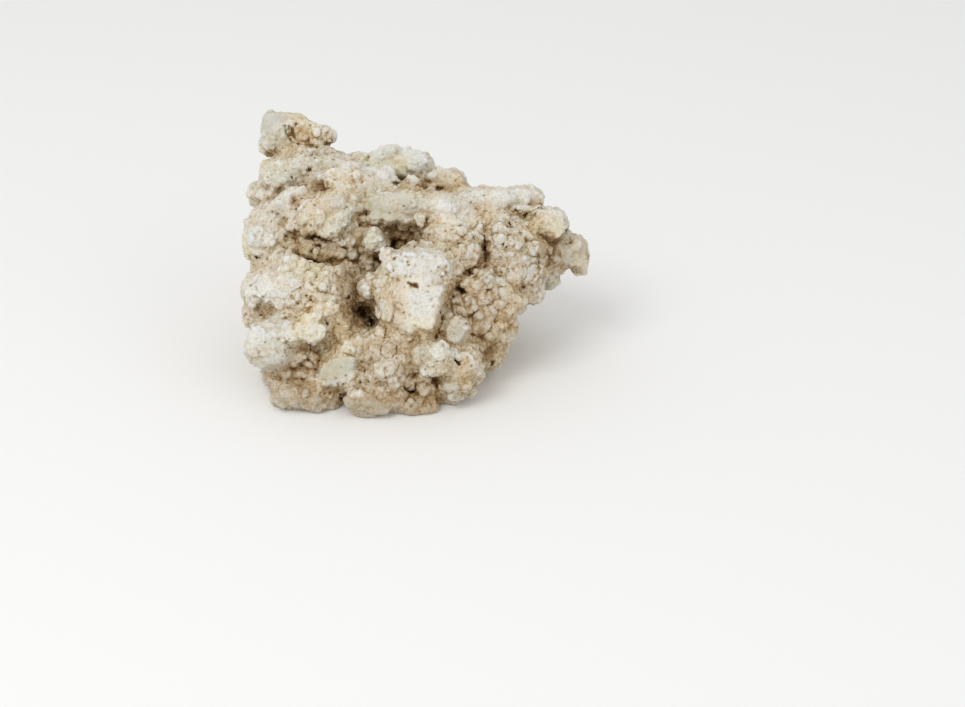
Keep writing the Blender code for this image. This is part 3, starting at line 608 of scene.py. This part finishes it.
def beside(seen: np.ndarray, seam: Seam) -> np.ndarray:
    """Measure how far each seen place is from a seam's wavy line.

    Args:
        seen: Rows of across, up and out, in millimetres.
        seam: The seam.

    Returns:
        One distance for each row, in millimetres.
    """
    nearest = np.full(len(seen), 1e9)
    for start, end in zip(seam.points, seam.points[1:]):
        first = np.array(start)
        run = np.array(end) - first
        share = np.clip(((seen[:, :2] - first) @ run) / (run @ run), 0.0, 1.0)
        gap = seen[:, :2] - first - share[:, None] * run
        nearest = np.minimum(nearest, np.hypot(gap[:, 0], gap[:, 1]))
    wobble = np.sin(seen[:, 0] * 1.7) + np.sin(seen[:, 1] * 2.1)
    return np.abs(nearest + 0.18 * wobble)


def note(mesh: bpy.types.Mesh, name: str, values: np.ndarray) -> None:
    """Write one number for each vertex into a mesh attribute."""
    attribute = mesh.attributes.new(name, "FLOAT", "POINT")
    attribute.data.foreach_set("value", values.astype(np.float32))


@dataclass
class Net:
    """The edges of a mesh, to average numbers over neighbours."""

    first: np.ndarray
    second: np.ndarray
    count: np.ndarray

    @classmethod
    def of(cls, mesh: bpy.types.Mesh) -> "Net":
        """Read the net of a mesh.

        Args:
            mesh: The mesh.

        Returns:
            Its edges' ends and how many neighbours each vertex has.
        """
        ends = np.empty(len(mesh.edges) * 2, dtype=np.int32)
        mesh.edges.foreach_get("vertices", ends)
        first, second = ends.reshape(-1, 2).T
        count = np.bincount(ends, minlength=len(mesh.vertices)).astype(float)
        return cls(first.copy(), second.copy(), count)

    def sums(self, values: np.ndarray) -> np.ndarray:
        """Return, for each vertex, the sum of its neighbours' numbers."""
        size = len(self.count)
        total = np.bincount(self.first, values[self.second], size)
        return total + np.bincount(self.second, values[self.first], size)

    def smooth(self, places: np.ndarray, rounds: int) -> np.ndarray:
        """Move places towards their neighbours, again and again.

        Args:
            places: Rows of x, y and z.
            rounds: How many times they move.

        Returns:
            The moved rows.
        """
        moved = places.copy()
        for _ in range(rounds):
            for axis in range(moved.shape[1]):
                column = moved[:, axis]
                moved[:, axis] = 0.4 * column + 0.6 * self.sums(column) / self.count
        return moved

    def spread(self, values: np.ndarray, known: np.ndarray, rounds: int) -> np.ndarray:
        """Spread the values of some vertices to all.

        Args:
            values: One number for each vertex.
            known: Which of them hold.
            rounds: How many neighbours further they spread.

        Returns:
            One smoothed number for each vertex.
        """
        share = known.astype(float)
        value = np.where(known, values, 0.0)
        for _ in range(rounds):
            value = value + self.sums(value)
            share = share + self.sums(share)
            value /= np.maximum(share, 1e-6)
            share = (share > 0.0).astype(float)
        return value


@dataclass
class Skin:
    """The rock's skin: the block's solid, rounded, overgrown, pitted and weathered."""

    base_voxel: float = 1.5
    grown_voxel: float = 1.0
    worn_voxel: float = 0.69
    rounding: int = 6
    knob_sunk: float = 0.35
    knob_stand: float = 0.75
    knob_roughness: float = 0.24
    back_knobs: int = 420
    back_spacing: float = 7.5
    back_roughness: float = 0.28
    grain_share: float = 0.15
    grain_sunk: float = 0.5
    facet_lift: float = 0.4
    facet_move: float = 4.0
    facet_share: float = 0.55
    pore_depth: float = 0.9
    margin: float = 7.0
    piece: bpy.types.Object = field(init=False)

    def build(self) -> list[bpy.types.Object]:
        """Build the skin.

        Returns:
            The finished pieces, with their attributes and no material.
        """
        self.start()
        self.grow_knobs()
        self.raise_heads()
        self.grow_grains()
        self.flatten()
        self.press_pits()
        self.wear()
        self.keep_in_box(0.5 * self.margin)
        self.note_all()
        return self.part()

    def start(self) -> None:
        """Copy the solid and round its facets off."""
        mesh = bpy.data.meshes.new("limestone_skin")
        bm = bmesh.new()
        bm.from_mesh(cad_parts[NODE].data)
        bmesh.ops.remove_doubles(bm, verts=bm.verts, dist=0.005 * MM)
        bm.to_mesh(mesh)
        bm.free()
        self.piece = bpy.data.objects.new("limestone_skin", mesh)
        bpy.context.scene.collection.objects.link(self.piece)
        self.melt(self.base_voxel)
        mesh, places, _ = self.read()
        write_places(mesh, Net.of(mesh).smooth(places, self.rounding))
        self.keep_in_box(self.margin)

    def melt(self, voxel: float) -> None:
        """Melt the skin's overlapping lumps into one surface with an even mesh.

        Args:
            voxel: How far apart the new vertices are, in millimetres.
        """
        remesh = self.piece.modifiers.new("melt", "REMESH")
        remesh.mode = "VOXEL"
        remesh.voxel_size = voxel * MM
        depsgraph = bpy.context.evaluated_depsgraph_get()
        shaped = bpy.data.meshes.new_from_object(self.piece.evaluated_get(depsgraph))
        plain = self.piece.data
        self.piece.modifiers.clear()
        self.piece.data = shaped
        bpy.data.meshes.remove(plain)
        LOG.info("melted at %.2f mm: %d vertices", voxel, len(shaped.vertices))

    def read(self) -> tuple[bpy.types.Mesh, np.ndarray, np.ndarray]:
        """Return the skin's mesh, its vertices' places and their normals."""
        mesh = self.piece.data
        return mesh, read_places(mesh), read_rows(mesh.vertex_normals, "vector")

    def tree(self) -> BVHTree:
        """Return the skin as a tree for ray casts."""
        return BVHTree.FromObject(self.piece, bpy.context.evaluated_depsgraph_get())

    def lump(self, matrix: Matrix, roughness: float, draw: random.Random) -> bpy.types.Mesh:
        """Make one uneven ball.

        Args:
            matrix: What places and stretches it.
            roughness: How uneven it is.
            draw: The random draw.

        Returns:
            Its mesh.
        """
        bm = bmesh.new()
        bmesh.ops.create_icosphere(bm, subdivisions=3, radius=1.0)
        offset = Vector([draw.uniform(-50.0, 50.0) for _ in range(3)])
        for vert in bm.verts:
            vert.co *= 1.0 + roughness * noise.fractal(vert.co * 1.3 + offset, 0.8, 2.1, 3)
        bmesh.ops.transform(bm, matrix=matrix, verts=bm.verts)
        mesh = bpy.data.meshes.new("lump")
        bm.to_mesh(mesh)
        bm.free()
        return mesh

    def front_lump(self, knob: Knob, tree: BVHTree, draw: random.Random) -> bpy.types.Mesh:
        """Return the lump of a knob of the front, set where a line of sight meets the skin.

        Args:
            knob: The knob.
            tree: The skin, for ray casts.
            draw: The random draw.

        Returns:
            The lump's mesh, in its place.
        """
        sight = FACE.sight(knob)
        height = knob.stand
        if knob.level is None:
            height *= self.knob_stand
            place, normal, _, _ = tree.ray_cast(FACE.eye(), sight)
            if place is None:
                place, normal = tree.find_nearest(FACE.place(knob.across, knob.up, 0.0))[:2]
            outwards = (normal - sight).normalized()
            place = place - outwards * height * self.knob_sunk * MM
        else:
            outwards = -sight
            place = FACE.place(knob.across, knob.up, knob.level - height)
        stand = outwards.to_track_quat("Z", "Y").to_matrix().to_4x4()
        turn = Matrix.Rotation(math.radians(knob.turn), 4, "Z")
        halves = Matrix.Diagonal((knob.half_across, knob.half_up, height, 1.0))
        matrix = Matrix.Translation(place) @ stand @ turn @ Matrix.Scale(MM, 4) @ halves
        return self.lump(matrix, self.knob_roughness, draw)

    def back_lump(self, place: Vector, normal: Vector, draw: random.Random) -> bpy.types.Mesh:
        """Return a lump of a random size that sits on the skin, low and wide.

        Args:
            place: Where it sits, in metres.
            normal: The skin's normal there.
            draw: The random draw.

        Returns:
            The lump's mesh, in its place.
        """
        radius = draw.uniform(2.8, 6.5) * MM
        height = radius * draw.uniform(0.35, 0.6)
        halves = Matrix.Diagonal((radius, radius * draw.uniform(0.7, 1.3), height, 1.0))
        stand = normal.to_track_quat("Z", "X").to_matrix().to_4x4()
        sunk = Matrix.Translation(place - normal * height * self.knob_sunk)
        return self.lump(sunk @ stand @ halves, self.back_roughness, draw)

    def grow_knobs(self) -> None:
        """Grow the knobs: the front's own, and a rule's on the back and sides."""
        tree = self.tree()
        draw = random.Random(SEED)
        bm = bmesh.new()
        bm.from_mesh(self.piece.data)
        bm.normal_update()
        sites = sorted((tuple(vert.co), tuple(vert.normal)) for vert in bm.verts)
        lumps = [self.front_lump(knob, tree, draw) for knob in KNOBS]
        draw.shuffle(sites)
        front = FACE.outwards()
        taken = []
        for site, way in sites:
            place, normal = Vector(site), Vector(way)
            # The rule's lumps keep off the front and off the underside.
            if normal.dot(front) > -0.1 or place.z < 4.0 * MM:
                continue
            if any((place - other).length < self.back_spacing * MM for other in taken):
                continue
            taken.append(place)
            lumps.append(self.back_lump(place, normal, draw))
            if len(taken) == self.back_knobs:
                break
        for lump in lumps:
            bm.from_mesh(lump)
            bpy.data.meshes.remove(lump)
        bm.to_mesh(self.piece.data)
        bm.free()
        self.melt(self.grown_voxel)

    def zone_weights(self, places: np.ndarray, normals: np.ndarray) -> dict[Zone, np.ndarray]:
        """Return how much each vertex belongs to each zone.

        Args:
            places: Rows of x, y and z, in millimetres.
            normals: The vertices' normals.

        Returns:
            For each zone, one number for each vertex, 1 where it fully belongs.
        """
        seen = FACE.seen(places)
        # The front's patches fade out where the skin turns away from the point of sight.
        front = soft_step(FACE.facing(places, normals), -0.25, 0.1)
        wander = 0.3 * ZONE_EDGE.over(places)
        weights = {}
        for index, zone in enumerate(Zone):
            weight = np.zeros(len(places))
            for patch in PATCHES[zone]:
                share = patch.strength * (1.0 - soft_step(within(seen, patch) + wander, 0.75, 1.25))
                weight = np.maximum(weight, share)
            drift = Clouds(34.0, 11 + 5 * index).over(places)
            behind = BEHIND[zone] * soft_step(drift, 0.0, 0.5)
            weights[zone] = front * weight + (1.0 - front) * behind
        return weights

    def raise_heads(self) -> None:
        """Raise broad round heads and swells out of the skin."""
        mesh, places, normals = self.read()
        weights = self.zone_weights(places, normals)
        rough = 1.0 - 0.7 * np.minimum(weights[Zone.SLAB], 1.0)
        round_heads = heads(places, size=8.0, seed=5) - 0.7
        height = rough * SWELLS.over(places)
        height += rough * (0.9 - 0.3 * weights[Zone.CRUST]) * round_heads
        write_places(mesh, places + normals * height[:, None])

    def choose_sites(
        self, places: np.ndarray, share: np.ndarray, spacing: float, seed: int
    ) -> np.ndarray:
        """Choose vertices to set grains on, well apart and mostly where a share is high.

        Args:
            places: Rows of x, y and z, in millimetres.
            share: How likely each vertex is, from 0 to 1.
            spacing: The least distance between two of them, in millimetres.
            seed: The seed of the draw.

        Returns:
            The chosen vertices' numbers.
        """
        draw = np.random.default_rng(seed)
        order = np.lexsort(np.round(places, 2).T)
        order = order[draw.permutation(len(order))]
        order = order[draw.random(len(order)) < share[order]]
        cells = np.floor(places[order] / spacing).astype(int)
        chosen = []
        taken: dict[tuple[int, ...], list[int]] = {}
        near = list(product((-1, 0, 1), repeat=3))
        for index, (x, y, z) in zip(order.tolist(), cells.tolist()):
            others = [i for step in near for i in taken.get((x + step[0], y + step[1], z + step[2]), ())]
            if others:
                gap = places[others] - places[index]
                if np.einsum("ij,ij->i", gap, gap).min() < spacing**2:
                    continue
            taken.setdefault((x, y, z), []).append(index)
            chosen.append(index)
        return np.array(chosen)

    def grow_grains(self) -> None:
        """Grow the crust's small uneven grains and melt them into the skin."""
        skin, places, normals = self.read()
        weights = self.zone_weights(places, normals)
        bare = 1.0 - soft_step(weights[Zone.SLAB], 0.1, 0.5)
        crust = bare * weights[Zone.CRUST]
        sites = []
        radii = []
        for index, grain in enumerate(GRAINS):
            share = self.grain_share * (grain.on_crust * crust**2 + grain.elsewhere * bare)
            chosen = self.choose_sites(places, share, grain.spacing, SEED + 2 + index)
            draw = np.random.default_rng(SEED + 12 + index)
            sites.append(chosen)
            radii.append(draw.uniform(grain.smallest, grain.largest, len(chosen)))
            LOG.info("grains over %.1f mm: %d", grain.smallest, len(chosen))
        sites = np.concatenate(sites)
        radii = np.concatenate(radii)
        draw = np.random.default_rng(SEED + 22)
        ball = bmesh.new()
        bmesh.ops.create_icosphere(ball, subdivisions=2, radius=1.0)
        corners = np.array([tuple(vert.co) for vert in ball.verts])
        faces = np.array([[vert.index for vert in face.verts] for face in ball.faces])
        ball.free()
        middles = places[sites] - normals[sites] * (self.grain_sunk * radii)[:, None]
        stretch = draw.uniform(0.7, 1.35, (len(sites), 1, 3))
        spots = (middles[:, None] + radii[:, None, None] * stretch * corners[None]).reshape(-1, 3)
        moves = [replace(LUMPS, seed=LUMPS.seed + axis).over(spots) for axis in range(3)]
        spots += np.column_stack(moves)
        steps = len(corners) * np.arange(len(sites))[:, None, None]
        mesh = bpy.data.meshes.new("grains")
        mesh.from_pydata((spots * MM).tolist(), [], (faces[None] + steps).reshape(-1, 3).tolist())
        bm = bmesh.new()
        bm.from_mesh(skin)
        bm.from_mesh(mesh)
        bm.to_mesh(skin)
        bm.free()
        bpy.data.meshes.remove(mesh)
        self.melt(self.worn_voxel)

    def flatten(self) -> None:
        """Flatten the strong slabs of the front, each towards the plane that fits it best."""
        mesh, places, normals = self.read()
        seen = FACE.seen(places)
        facing = FACE.facing(places, normals)
        ragged = 0.24 * SLAB_EDGE.over(places)
        for patch in PATCHES[Zone.SLAB]:
            if patch.strength < 1.0:
                continue
            inside = within(seen, patch) + ragged
            near = (inside < 1.0) & (facing > 0.1)
            # Skin that lies far behind the slab isn't part of it.
            near &= np.abs(seen[:, 2] - np.median(seen[near, 2])) < 12.0
            spots = seen[near]
            basis = np.column_stack((spots[:, :2], np.ones(len(spots))))
            plane = np.linalg.lstsq(basis, spots[:, 2], rcond=None)[0]
            move = basis @ plane + self.facet_lift - spots[:, 2]
            move = np.clip(move, -self.facet_move, self.facet_move)
            move *= self.facet_share * patch.strength * (1.0 - soft_step(inside[near], 0.75, 1.0))
            places[near] += np.array(FACE.outwards()) * move[:, None]
        write_places(mesh, places)

    def press_pits(self) -> None:
        """Press the pits and the seams of the front into the skin."""
        mesh, places, normals = self.read()
        seen = FACE.seen(places)
        facing = soft_step(FACE.facing(places, normals), -0.15, 0.1)
        tree = self.tree()
        ragged = 0.4 * PIT_EDGE.over(places)
        depth = np.zeros(len(places))
        for pit in PITS:
            inside = within(seen, pit) + ragged
            near = inside < 1.0
            hit = tree.ray_cast(FACE.eye(), FACE.sight(pit))[0]
            if hit is None or not near.any():
                LOG.info("pit past the outline: %s", pit)
                continue
            level = FACE.seen(np.array([hit]) / MM)[0, 2]
            # Skin far before or behind the pit's own level stays whole.
            near &= np.abs(seen[:, 2] - level) < 5.0 + 2.0 * max(pit.half_across, pit.half_up)
            shape = 1.0 - soft_step(inside[near], 0.25, 1.0)
            depth[near] = np.maximum(depth[near], pit.depth * shape)
        for seam in SEAMS:
            inside = beside(seen, seam) / seam.half_width + ragged
            near = inside < 1.0
            shape = 1.0 - soft_step(np.abs(inside[near]), 0.0, 1.0)
            depth[near] = np.maximum(depth[near], seam.depth * shape)
        write_places(mesh, places - FACE.ways(places) * (depth * facing)[:, None])

    def wear(self) -> None:
        """Give the whole skin its cobbles, its small pores and its fine grain."""
        mesh, places, normals = self.read()
        weights = self.zone_weights(places, normals)
        rough = 1.0 - 0.3 * np.minimum(weights[Zone.SLAB], 1.0)
        chalk = np.minimum(weights[Zone.CHALK], 1.0)
        crust = weights[Zone.CRUST] * (1.0 - chalk)
        # Large cobbles and small ones lie in drifts, highest on crust and lowest on chalk.
        drift = 0.35 + 0.65 * soft_step(COBBLED.over(places), -0.35, 0.35)
        large = drift * (0.8 + 0.5 * crust - 0.5 * chalk)
        small = (1.35 - drift) * (0.6 - 0.2 * crust - 0.3 * chalk)
        fine = 0.40 + 0.14 * chalk + 0.14 * crust
        height = rough * large * cobbles(places, size=8.8, seed=80)
        height += rough * small * cobbles(places, size=3.9, seed=90)
        height += rough * fine * CRUMBS.over(places)
        pore = pores(places, size=4.6, seed=8)
        height -= self.pore_depth * pore
        note(mesh, "pore", pore)
        write_places(mesh, places + normals * height[:, None])

    def keep_in_box(self, margin: float) -> None:
        """Hold the skin inside the solid's box, softly but for its flat underside.

        Args:
            margin: How far inside a side the skin starts to be held, in millimetres.
        """
        mesh, places, _ = self.read()
        low, high = (np.array(corner) / MM for corner in SOLID_BOX)
        for axis in range(3):
            column = places[:, axis]
            if axis < 2:
                column = low[axis] + hold(column - low[axis], margin)
            column = high[axis] - hold(high[axis] - column, margin)
            places[:, axis] = np.maximum(column, low[axis])
        write_places(mesh, places)

    def note_all(self) -> None:
        """Write into the mesh its tints, and how open and how raised each vertex is."""
        mesh, places, normals = self.read()
        weights = self.zone_weights(places, normals)
        for zone in TINTS:
            note(mesh, zone.value, weights[zone])
        net = Net.of(mesh)
        # How raised each vertex is at three scales; the finish darkens the sunk ones, partly as painted
        # shade.
        for name, rounds, height in (("fine", 3, 0.22), ("crease", 26, 1.0), ("form", 90, 2.6)):
            smoothed = net.smooth(places, rounds)
            raised = np.einsum("ij,ij->i", places - smoothed, normals) / height
            note(mesh, name, np.clip(0.5 + 0.5 * raised, 0.0, 1.0))
        # The sky is measured at every fifth vertex and spread from there; the finish darkens shut-in
        # skin by it, as painted shade.
        known = np.arange(len(places)) % 5 == 0
        sky = np.zeros(len(places))
        sky[known] = openness(self.tree(), places[known], normals[known])
        note(mesh, "open", net.spread(sky, known, 3))

    def part(self) -> list[bpy.types.Object]:
        """Part the skin from left to right, so that each piece keeps within its triangles.

        Returns:
            The pieces, which meet without a step because they keep the whole skin's normals.
        """
        whole, places, normals = self.read()
        corners = np.empty(len(whole.loops), dtype=np.int32)
        whole.loops.foreach_get("vertex_index", corners)
        faces = corners.reshape(-1, 4)
        count = math.ceil(2.0 * len(faces) / MOST_TRIANGLES)
        order = np.argsort(places[faces[:, 0], 0], kind="stable")
        pieces = []
        for index, chosen in enumerate(np.array_split(order, count)):
            used, local = np.unique(faces[chosen].ravel(), return_inverse=True)
            mesh = bpy.data.meshes.new(f"limestone_skin_{index + 1}")
            mesh.from_pydata((places[used] * MM).tolist(), [], local.reshape(-1, 4).tolist())
            mesh.shade_smooth()
            for name in NOTES:
                values = np.empty(len(places), dtype=np.float32)
                whole.attributes[name].data.foreach_get("value", values)
                note(mesh, name, values[used])
            mesh.normals_split_custom_set_from_vertices(normals[used].tolist())
            piece = bpy.data.objects.new(mesh.name, mesh)
            bpy.context.scene.collection.objects.link(piece)
            pieces.append(piece)
            LOG.info("%s: %d triangles", piece.name, 2 * len(chosen))
        bpy.data.objects.remove(self.piece)
        bpy.data.meshes.remove(whole)
        return pieces


def openness(tree: BVHTree, places: np.ndarray, normals: np.ndarray) -> np.ndarray:
    """Return how much of the sky each place sees.

    Args:
        tree: The skin.
        places: Rows of x, y and z, in millimetres.
        normals: The skin's normals there.

    Returns:
        One number from 0, shut in, to 1, open, for each place.
    """
    count = 40
    reach = 45.0 * MM
    ways = []
    for index in range(count):
        level = 1.0 - 2.0 * (index + 0.5) / count
        around = math.pi * (1.0 + math.sqrt(5.0)) * index
        ring = math.sqrt(1.0 - level * level)
        ways.append(Vector((ring * math.cos(around), ring * math.sin(around), level)))
    facing = normals @ np.array(ways).T
    starts = (places + normals * 0.5) * MM
    seen = np.empty(len(places))
    for row, (start, cosines) in enumerate(zip(starts.tolist(), facing.tolist())):
        total = 0.0
        free = 0.0
        for way, cosine in zip(ways, cosines):
            if cosine < 0.15:
                continue
            total += cosine
            distance = tree.ray_cast(start, way, reach)[3]
            free += cosine if distance is None else cosine * 0.6 * distance / reach
        seen[row] = free / total
    return seen


def srgb(red: int, green: int, blue: int) -> Colour:
    """Turn a colour as a screen shows it into the linear one of a shader.

    Args:
        red: From 0 to 255.
        green: From 0 to 255.
        blue: From 0 to 255.

    Returns:
        Red, green and blue from 0 to 1, and a full alpha.
    """
    parts = []
    for part in (red, green, blue):
        share = part / 255.0
        low = share <= 0.04045
        parts.append(share / 12.92 if low else ((share + 0.055) / 1.055) ** 2.4)
    return parts[0], parts[1], parts[2], 1.0


@dataclass(frozen=True)
class Limestone:
    """The rock's finish: chalky on its crests, tan to brown in its hollows, partly from its own staining
    and partly as painted shade.
    """

    # From shut-in hollows to open crests: brown that is partly the rock's own staining and partly
    # painted shade, up to chalky white.
    depths: tuple[tuple[float, Colour], ...] = (
        (0.0, srgb(104, 72, 40)),
        (0.14, srgb(140, 111, 71)),
        (0.30, srgb(170, 146, 110)),
        (0.48, srgb(196, 180, 153)),
        (0.66, srgb(213, 204, 186)),
        (0.84, srgb(222, 219, 210)),
        (1.0, srgb(232, 232, 228)),
    )
    tints: tuple[tuple[Zone, Colour, float], ...] = (
        # A brown that is partly the rock's own stain and partly painted shade.
        (Zone.STAIN_AND_SHADE, srgb(156, 126, 88), 0.84),
        (Zone.RUST, srgb(206, 172, 134), 0.7),
        (Zone.SAGE, srgb(191, 190, 176), 1.2),
    )
    drifts: tuple[tuple[float, Colour], ...] = (
        (28.0, srgb(255, 248, 224)),
        (36.0, srgb(238, 244, 246)),
        (52.0, srgb(255, 244, 233)),
    )
    roughness: float = 0.93
    specular: float = 0.25
    bump_strength: float = 0.8
    bump_distance: float = 0.5

    def material(self) -> bpy.types.Material:
        """Build the material.

        Returns:
            A material that reads Object coordinates and the skin's own attributes.
        """
        material = bpy.data.materials.new("reef limestone")
        material.use_nodes = True
        wiring = Wiring(material.node_tree)
        shader = material.node_tree.nodes["Principled BSDF"]
        shader.inputs["Roughness"].default_value = self.roughness
        shader.inputs["Specular IOR Level"].default_value = self.specular
        patchy = wiring.noise(170.0, 3.0)
        # Skin that sees less sky, lies in a crease or pore or sits below its neighbours gets a darker,
        # browner tone: painted shade, partly with the rock's own staining.
        tone = wiring.weighted(
            (
                (wiring.attribute("open"), 0.52),
                (wiring.attribute("crease"), 0.36),
                (wiring.attribute("fine"), 0.14),
                (wiring.attribute("pore"), -0.25),
                (wiring.attribute("form"), 0.18),
                (wiring.attribute(Zone.CHALK.value), 0.17),
                (wiring.attribute(Zone.STAIN_AND_SHADE.value), -0.20),
                (wiring.noise(900.0, 2.0), 0.85),
                (patchy, 0.26),
                (wiring.noise(45.0, 3.0), 0.26),
            ),
            -0.882,
        )
        colour = wiring.ramp(tone, self.depths)
        for zone, tint, strength in self.tints:
            share = wiring.multiply(patchy, strength)
            share = wiring.multiply(wiring.attribute(zone.value), share)
            colour = wiring.tint(share, colour, tint)
        for scale, tint in self.drifts:
            drift = wiring.weighted(((wiring.noise(scale, 2.0), 3.0),), -1.38)
            colour = wiring.tint(drift, colour, tint, "MULTIPLY")
        wiring.join(colour, shader.inputs["Base Color"])
        relief = wiring.weighted(
            ((wiring.noise(900.0, 4.0), 0.6), (wiring.noise(330.0, 3.0), 0.8)), 0.0
        )
        normal = wiring.bump(relief, self.bump_strength, self.bump_distance * MM)
        wiring.join(normal, shader.inputs["Normal"])
        return material


@dataclass
class Wiring:
    """A hand for laying out the nodes of one material."""

    tree: bpy.types.NodeTree
    place: Socket = field(init=False)

    def __post_init__(self) -> None:
        """Lay the coordinates that every pattern reads."""
        self.place = self.tree.nodes.new("ShaderNodeTexCoord").outputs["Object"]

    def join(self, output: Socket, target: Socket) -> None:
        """Link an output to an input."""
        self.tree.links.new(output, target)

    def attribute(self, name: str) -> Socket:
        """Return a number that the mesh holds."""
        node = self.tree.nodes.new("ShaderNodeAttribute")
        node.attribute_name = name
        return node.outputs["Fac"]

    def noise(self, scale: float, detail: float) -> Socket:
        """Lay a cloudy pattern.

        Args:
            scale: How many clouds lie in a metre.
            detail: How many times finer clouds are added.

        Returns:
            A number from 0 to 1.
        """
        node = self.tree.nodes.new("ShaderNodeTexNoise")
        node.inputs["Scale"].default_value = scale
        node.inputs["Detail"].default_value = detail
        node.inputs["Roughness"].default_value = 0.6
        self.join(self.place, node.inputs["Vector"])
        return node.outputs["Fac"]

    def math(self, kind: str, first: Socket, second: Socket | float) -> Socket:
        """Reckon with two numbers.

        Args:
            kind: MULTIPLY or ADD.
            first: One number.
            second: The other, or a constant.

        Returns:
            Their product or sum.
        """
        node = self.tree.nodes.new("ShaderNodeMath")
        node.operation = kind
        self.join(first, node.inputs[0])
        if isinstance(second, float):
            node.inputs[1].default_value = second
        else:
            self.join(second, node.inputs[1])
        return node.outputs["Value"]

    def multiply(self, first: Socket, second: Socket | float) -> Socket:
        """Return a product."""
        return self.math("MULTIPLY", first, second)

    def weighted(self, parts: tuple[tuple[Socket, float], ...], start: float) -> Socket:
        """Add numbers up.

        Args:
            parts: The numbers, each with its weight.
            start: What they are added to.

        Returns:
            The sum.
        """
        total = None
        for socket, weight in parts:
            term = self.multiply(socket, weight)
            total = term if total is None else self.math("ADD", total, term)
        return self.math("ADD", total, start)

    def ramp(self, share: Socket, stops: tuple[tuple[float, Colour], ...]) -> Socket:
        """Pick a colour from a row of stops.

        Args:
            share: The number that picks.
            stops: Positions from 0 to 1 with their colours.

        Returns:
            The colour, blended between stops.
        """
        node = self.tree.nodes.new("ShaderNodeValToRGB")
        elements = node.color_ramp.elements
        while len(elements) < len(stops):
            elements.new(1.0)
        for element, (position, colour) in zip(elements, stops):
            element.position = position
            element.color = colour
        self.join(share, node.inputs["Fac"])
        return node.outputs["Color"]

    def tint(self, share: Socket, colour: Socket, tint: Colour, blend: str = "MIX") -> Socket:
        """Draw a colour towards a tint, or multiply it by the tint.

        Args:
            share: How much, from 0 to 1.
            colour: The colour.
            tint: The tint.
            blend: MIX or MULTIPLY.

        Returns:
            The tinted colour.
        """
        node = self.tree.nodes.new("ShaderNodeMix")
        node.data_type = "RGBA"
        node.blend_type = blend
        node.clamp_factor = True
        self.join(share, node.inputs["Factor"])
        self.join(colour, node.inputs["A"])
        node.inputs["B"].default_value = tint
        return node.outputs["Result"]

    def bump(self, height: Socket, strength: float, distance: float) -> Socket:
        """Roughen the surface by a height pattern.

        Args:
            height: The pattern.
            strength: How much of it shows, from 0 to 1.
            distance: How high it stands, in metres.

        Returns:
            The roughened normal.
        """
        node = self.tree.nodes.new("ShaderNodeBump")
        node.inputs["Strength"].default_value = strength
        node.inputs["Distance"].default_value = distance
        self.join(height, node.inputs["Height"])
        return node.outputs["Normal"]


@dataclass
class Studio:
    """A pale floor, soft light from above and the left, and the camera at the point of sight."""

    floor_size: float = 9.0
    floor_colour: Colour = (0.93, 0.93, 0.92, 1.0)
    sky: float = 0.72
    key_place: tuple[float, float, float] = (-0.9, -1.1, 1.9)
    fill_place: tuple[float, float, float] = (1.4, -1.2, 1.0)
    lens: float = 85.0
    sensor: float = 36.0

    def build(self) -> None:
        """Build the studio."""
        self.lay_floor()
        self.light()
        self.set_camera()

    def lay_floor(self) -> None:
        """Lay the floor that the rock rests on."""
        mesh = bpy.data.meshes.new("floor")
        bm = bmesh.new()
        bmesh.ops.create_grid(bm, x_segments=1, y_segments=1, size=self.floor_size / 2.0)
        bm.to_mesh(mesh)
        bm.free()
        material = bpy.data.materials.new("pale floor")
        material.use_nodes = True
        shader = material.node_tree.nodes["Principled BSDF"]
        shader.inputs["Base Color"].default_value = self.floor_colour
        shader.inputs["Roughness"].default_value = 0.8
        mesh.materials.append(material)
        self.add("floor", mesh)

    def add(self, name: str, data: bpy.types.ID) -> bpy.types.Object:
        """Return a new object of the scene that holds a mesh, a lamp or a camera."""
        holder = bpy.data.objects.new(name, data)
        bpy.context.scene.collection.objects.link(holder)
        return holder

    def light(self) -> None:
        """Set a bright even sky and a large soft lamp above and to the left."""
        scene = bpy.context.scene
        scene.view_settings.view_transform = "Standard"
        world = bpy.data.worlds.new("studio")
        world.use_nodes = True
        background = world.node_tree.nodes["Background"]
        background.inputs["Color"].default_value = (1.0, 1.0, 1.0, 1.0)
        background.inputs["Strength"].default_value = self.sky
        scene.world = world
        self.add_lamp("key", Vector(self.key_place), 1.1, 17.0)
        self.add_lamp("fill", Vector(self.fill_place), 1.4, 3.0)

    def add_lamp(self, name: str, place: Vector, size: float, power: float) -> None:
        """Add one square soft lamp that shines at the rock.

        Args:
            name: Its name.
            place: Its place, in metres.
            size: Its side, in metres.
            power: Its power, in watts.
        """
        lamp = bpy.data.lights.new(name, "AREA")
        lamp.size = size
        lamp.energy = power
        back = place - Vector((0.0, 0.0, 0.08))
        self.aim(self.add(name, lamp), place, back)

    def aim(self, holder: bpy.types.Object, place: Vector, back: Vector) -> None:
        """Put a lamp or the camera in its place, with its back turned a given way."""
        holder.location = place
        holder.rotation_euler = back.to_track_quat("Z", "Y").to_euler()

    def set_camera(self) -> None:
        """Put the camera at the point of sight, looking square at the face."""
        camera = bpy.data.cameras.new("camera")
        camera.lens = self.lens
        camera.sensor_width = self.sensor
        camera.clip_start = 0.05
        holder = self.add("camera", camera)
        self.aim(holder, FACE.eye(), FACE.outwards())
        bpy.context.scene.camera = holder


def main() -> None:
    """Build the rock's looks and the studio."""
    logging.basicConfig(level=logging.INFO, format="%(name)s: %(message)s")
    material = Limestone().material()
    for piece in Skin().build():
        piece.data.materials.append(material)
        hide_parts(NODE)
        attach(piece, BODY)
    Studio().build()


if __name__ == "__main__":
    main()
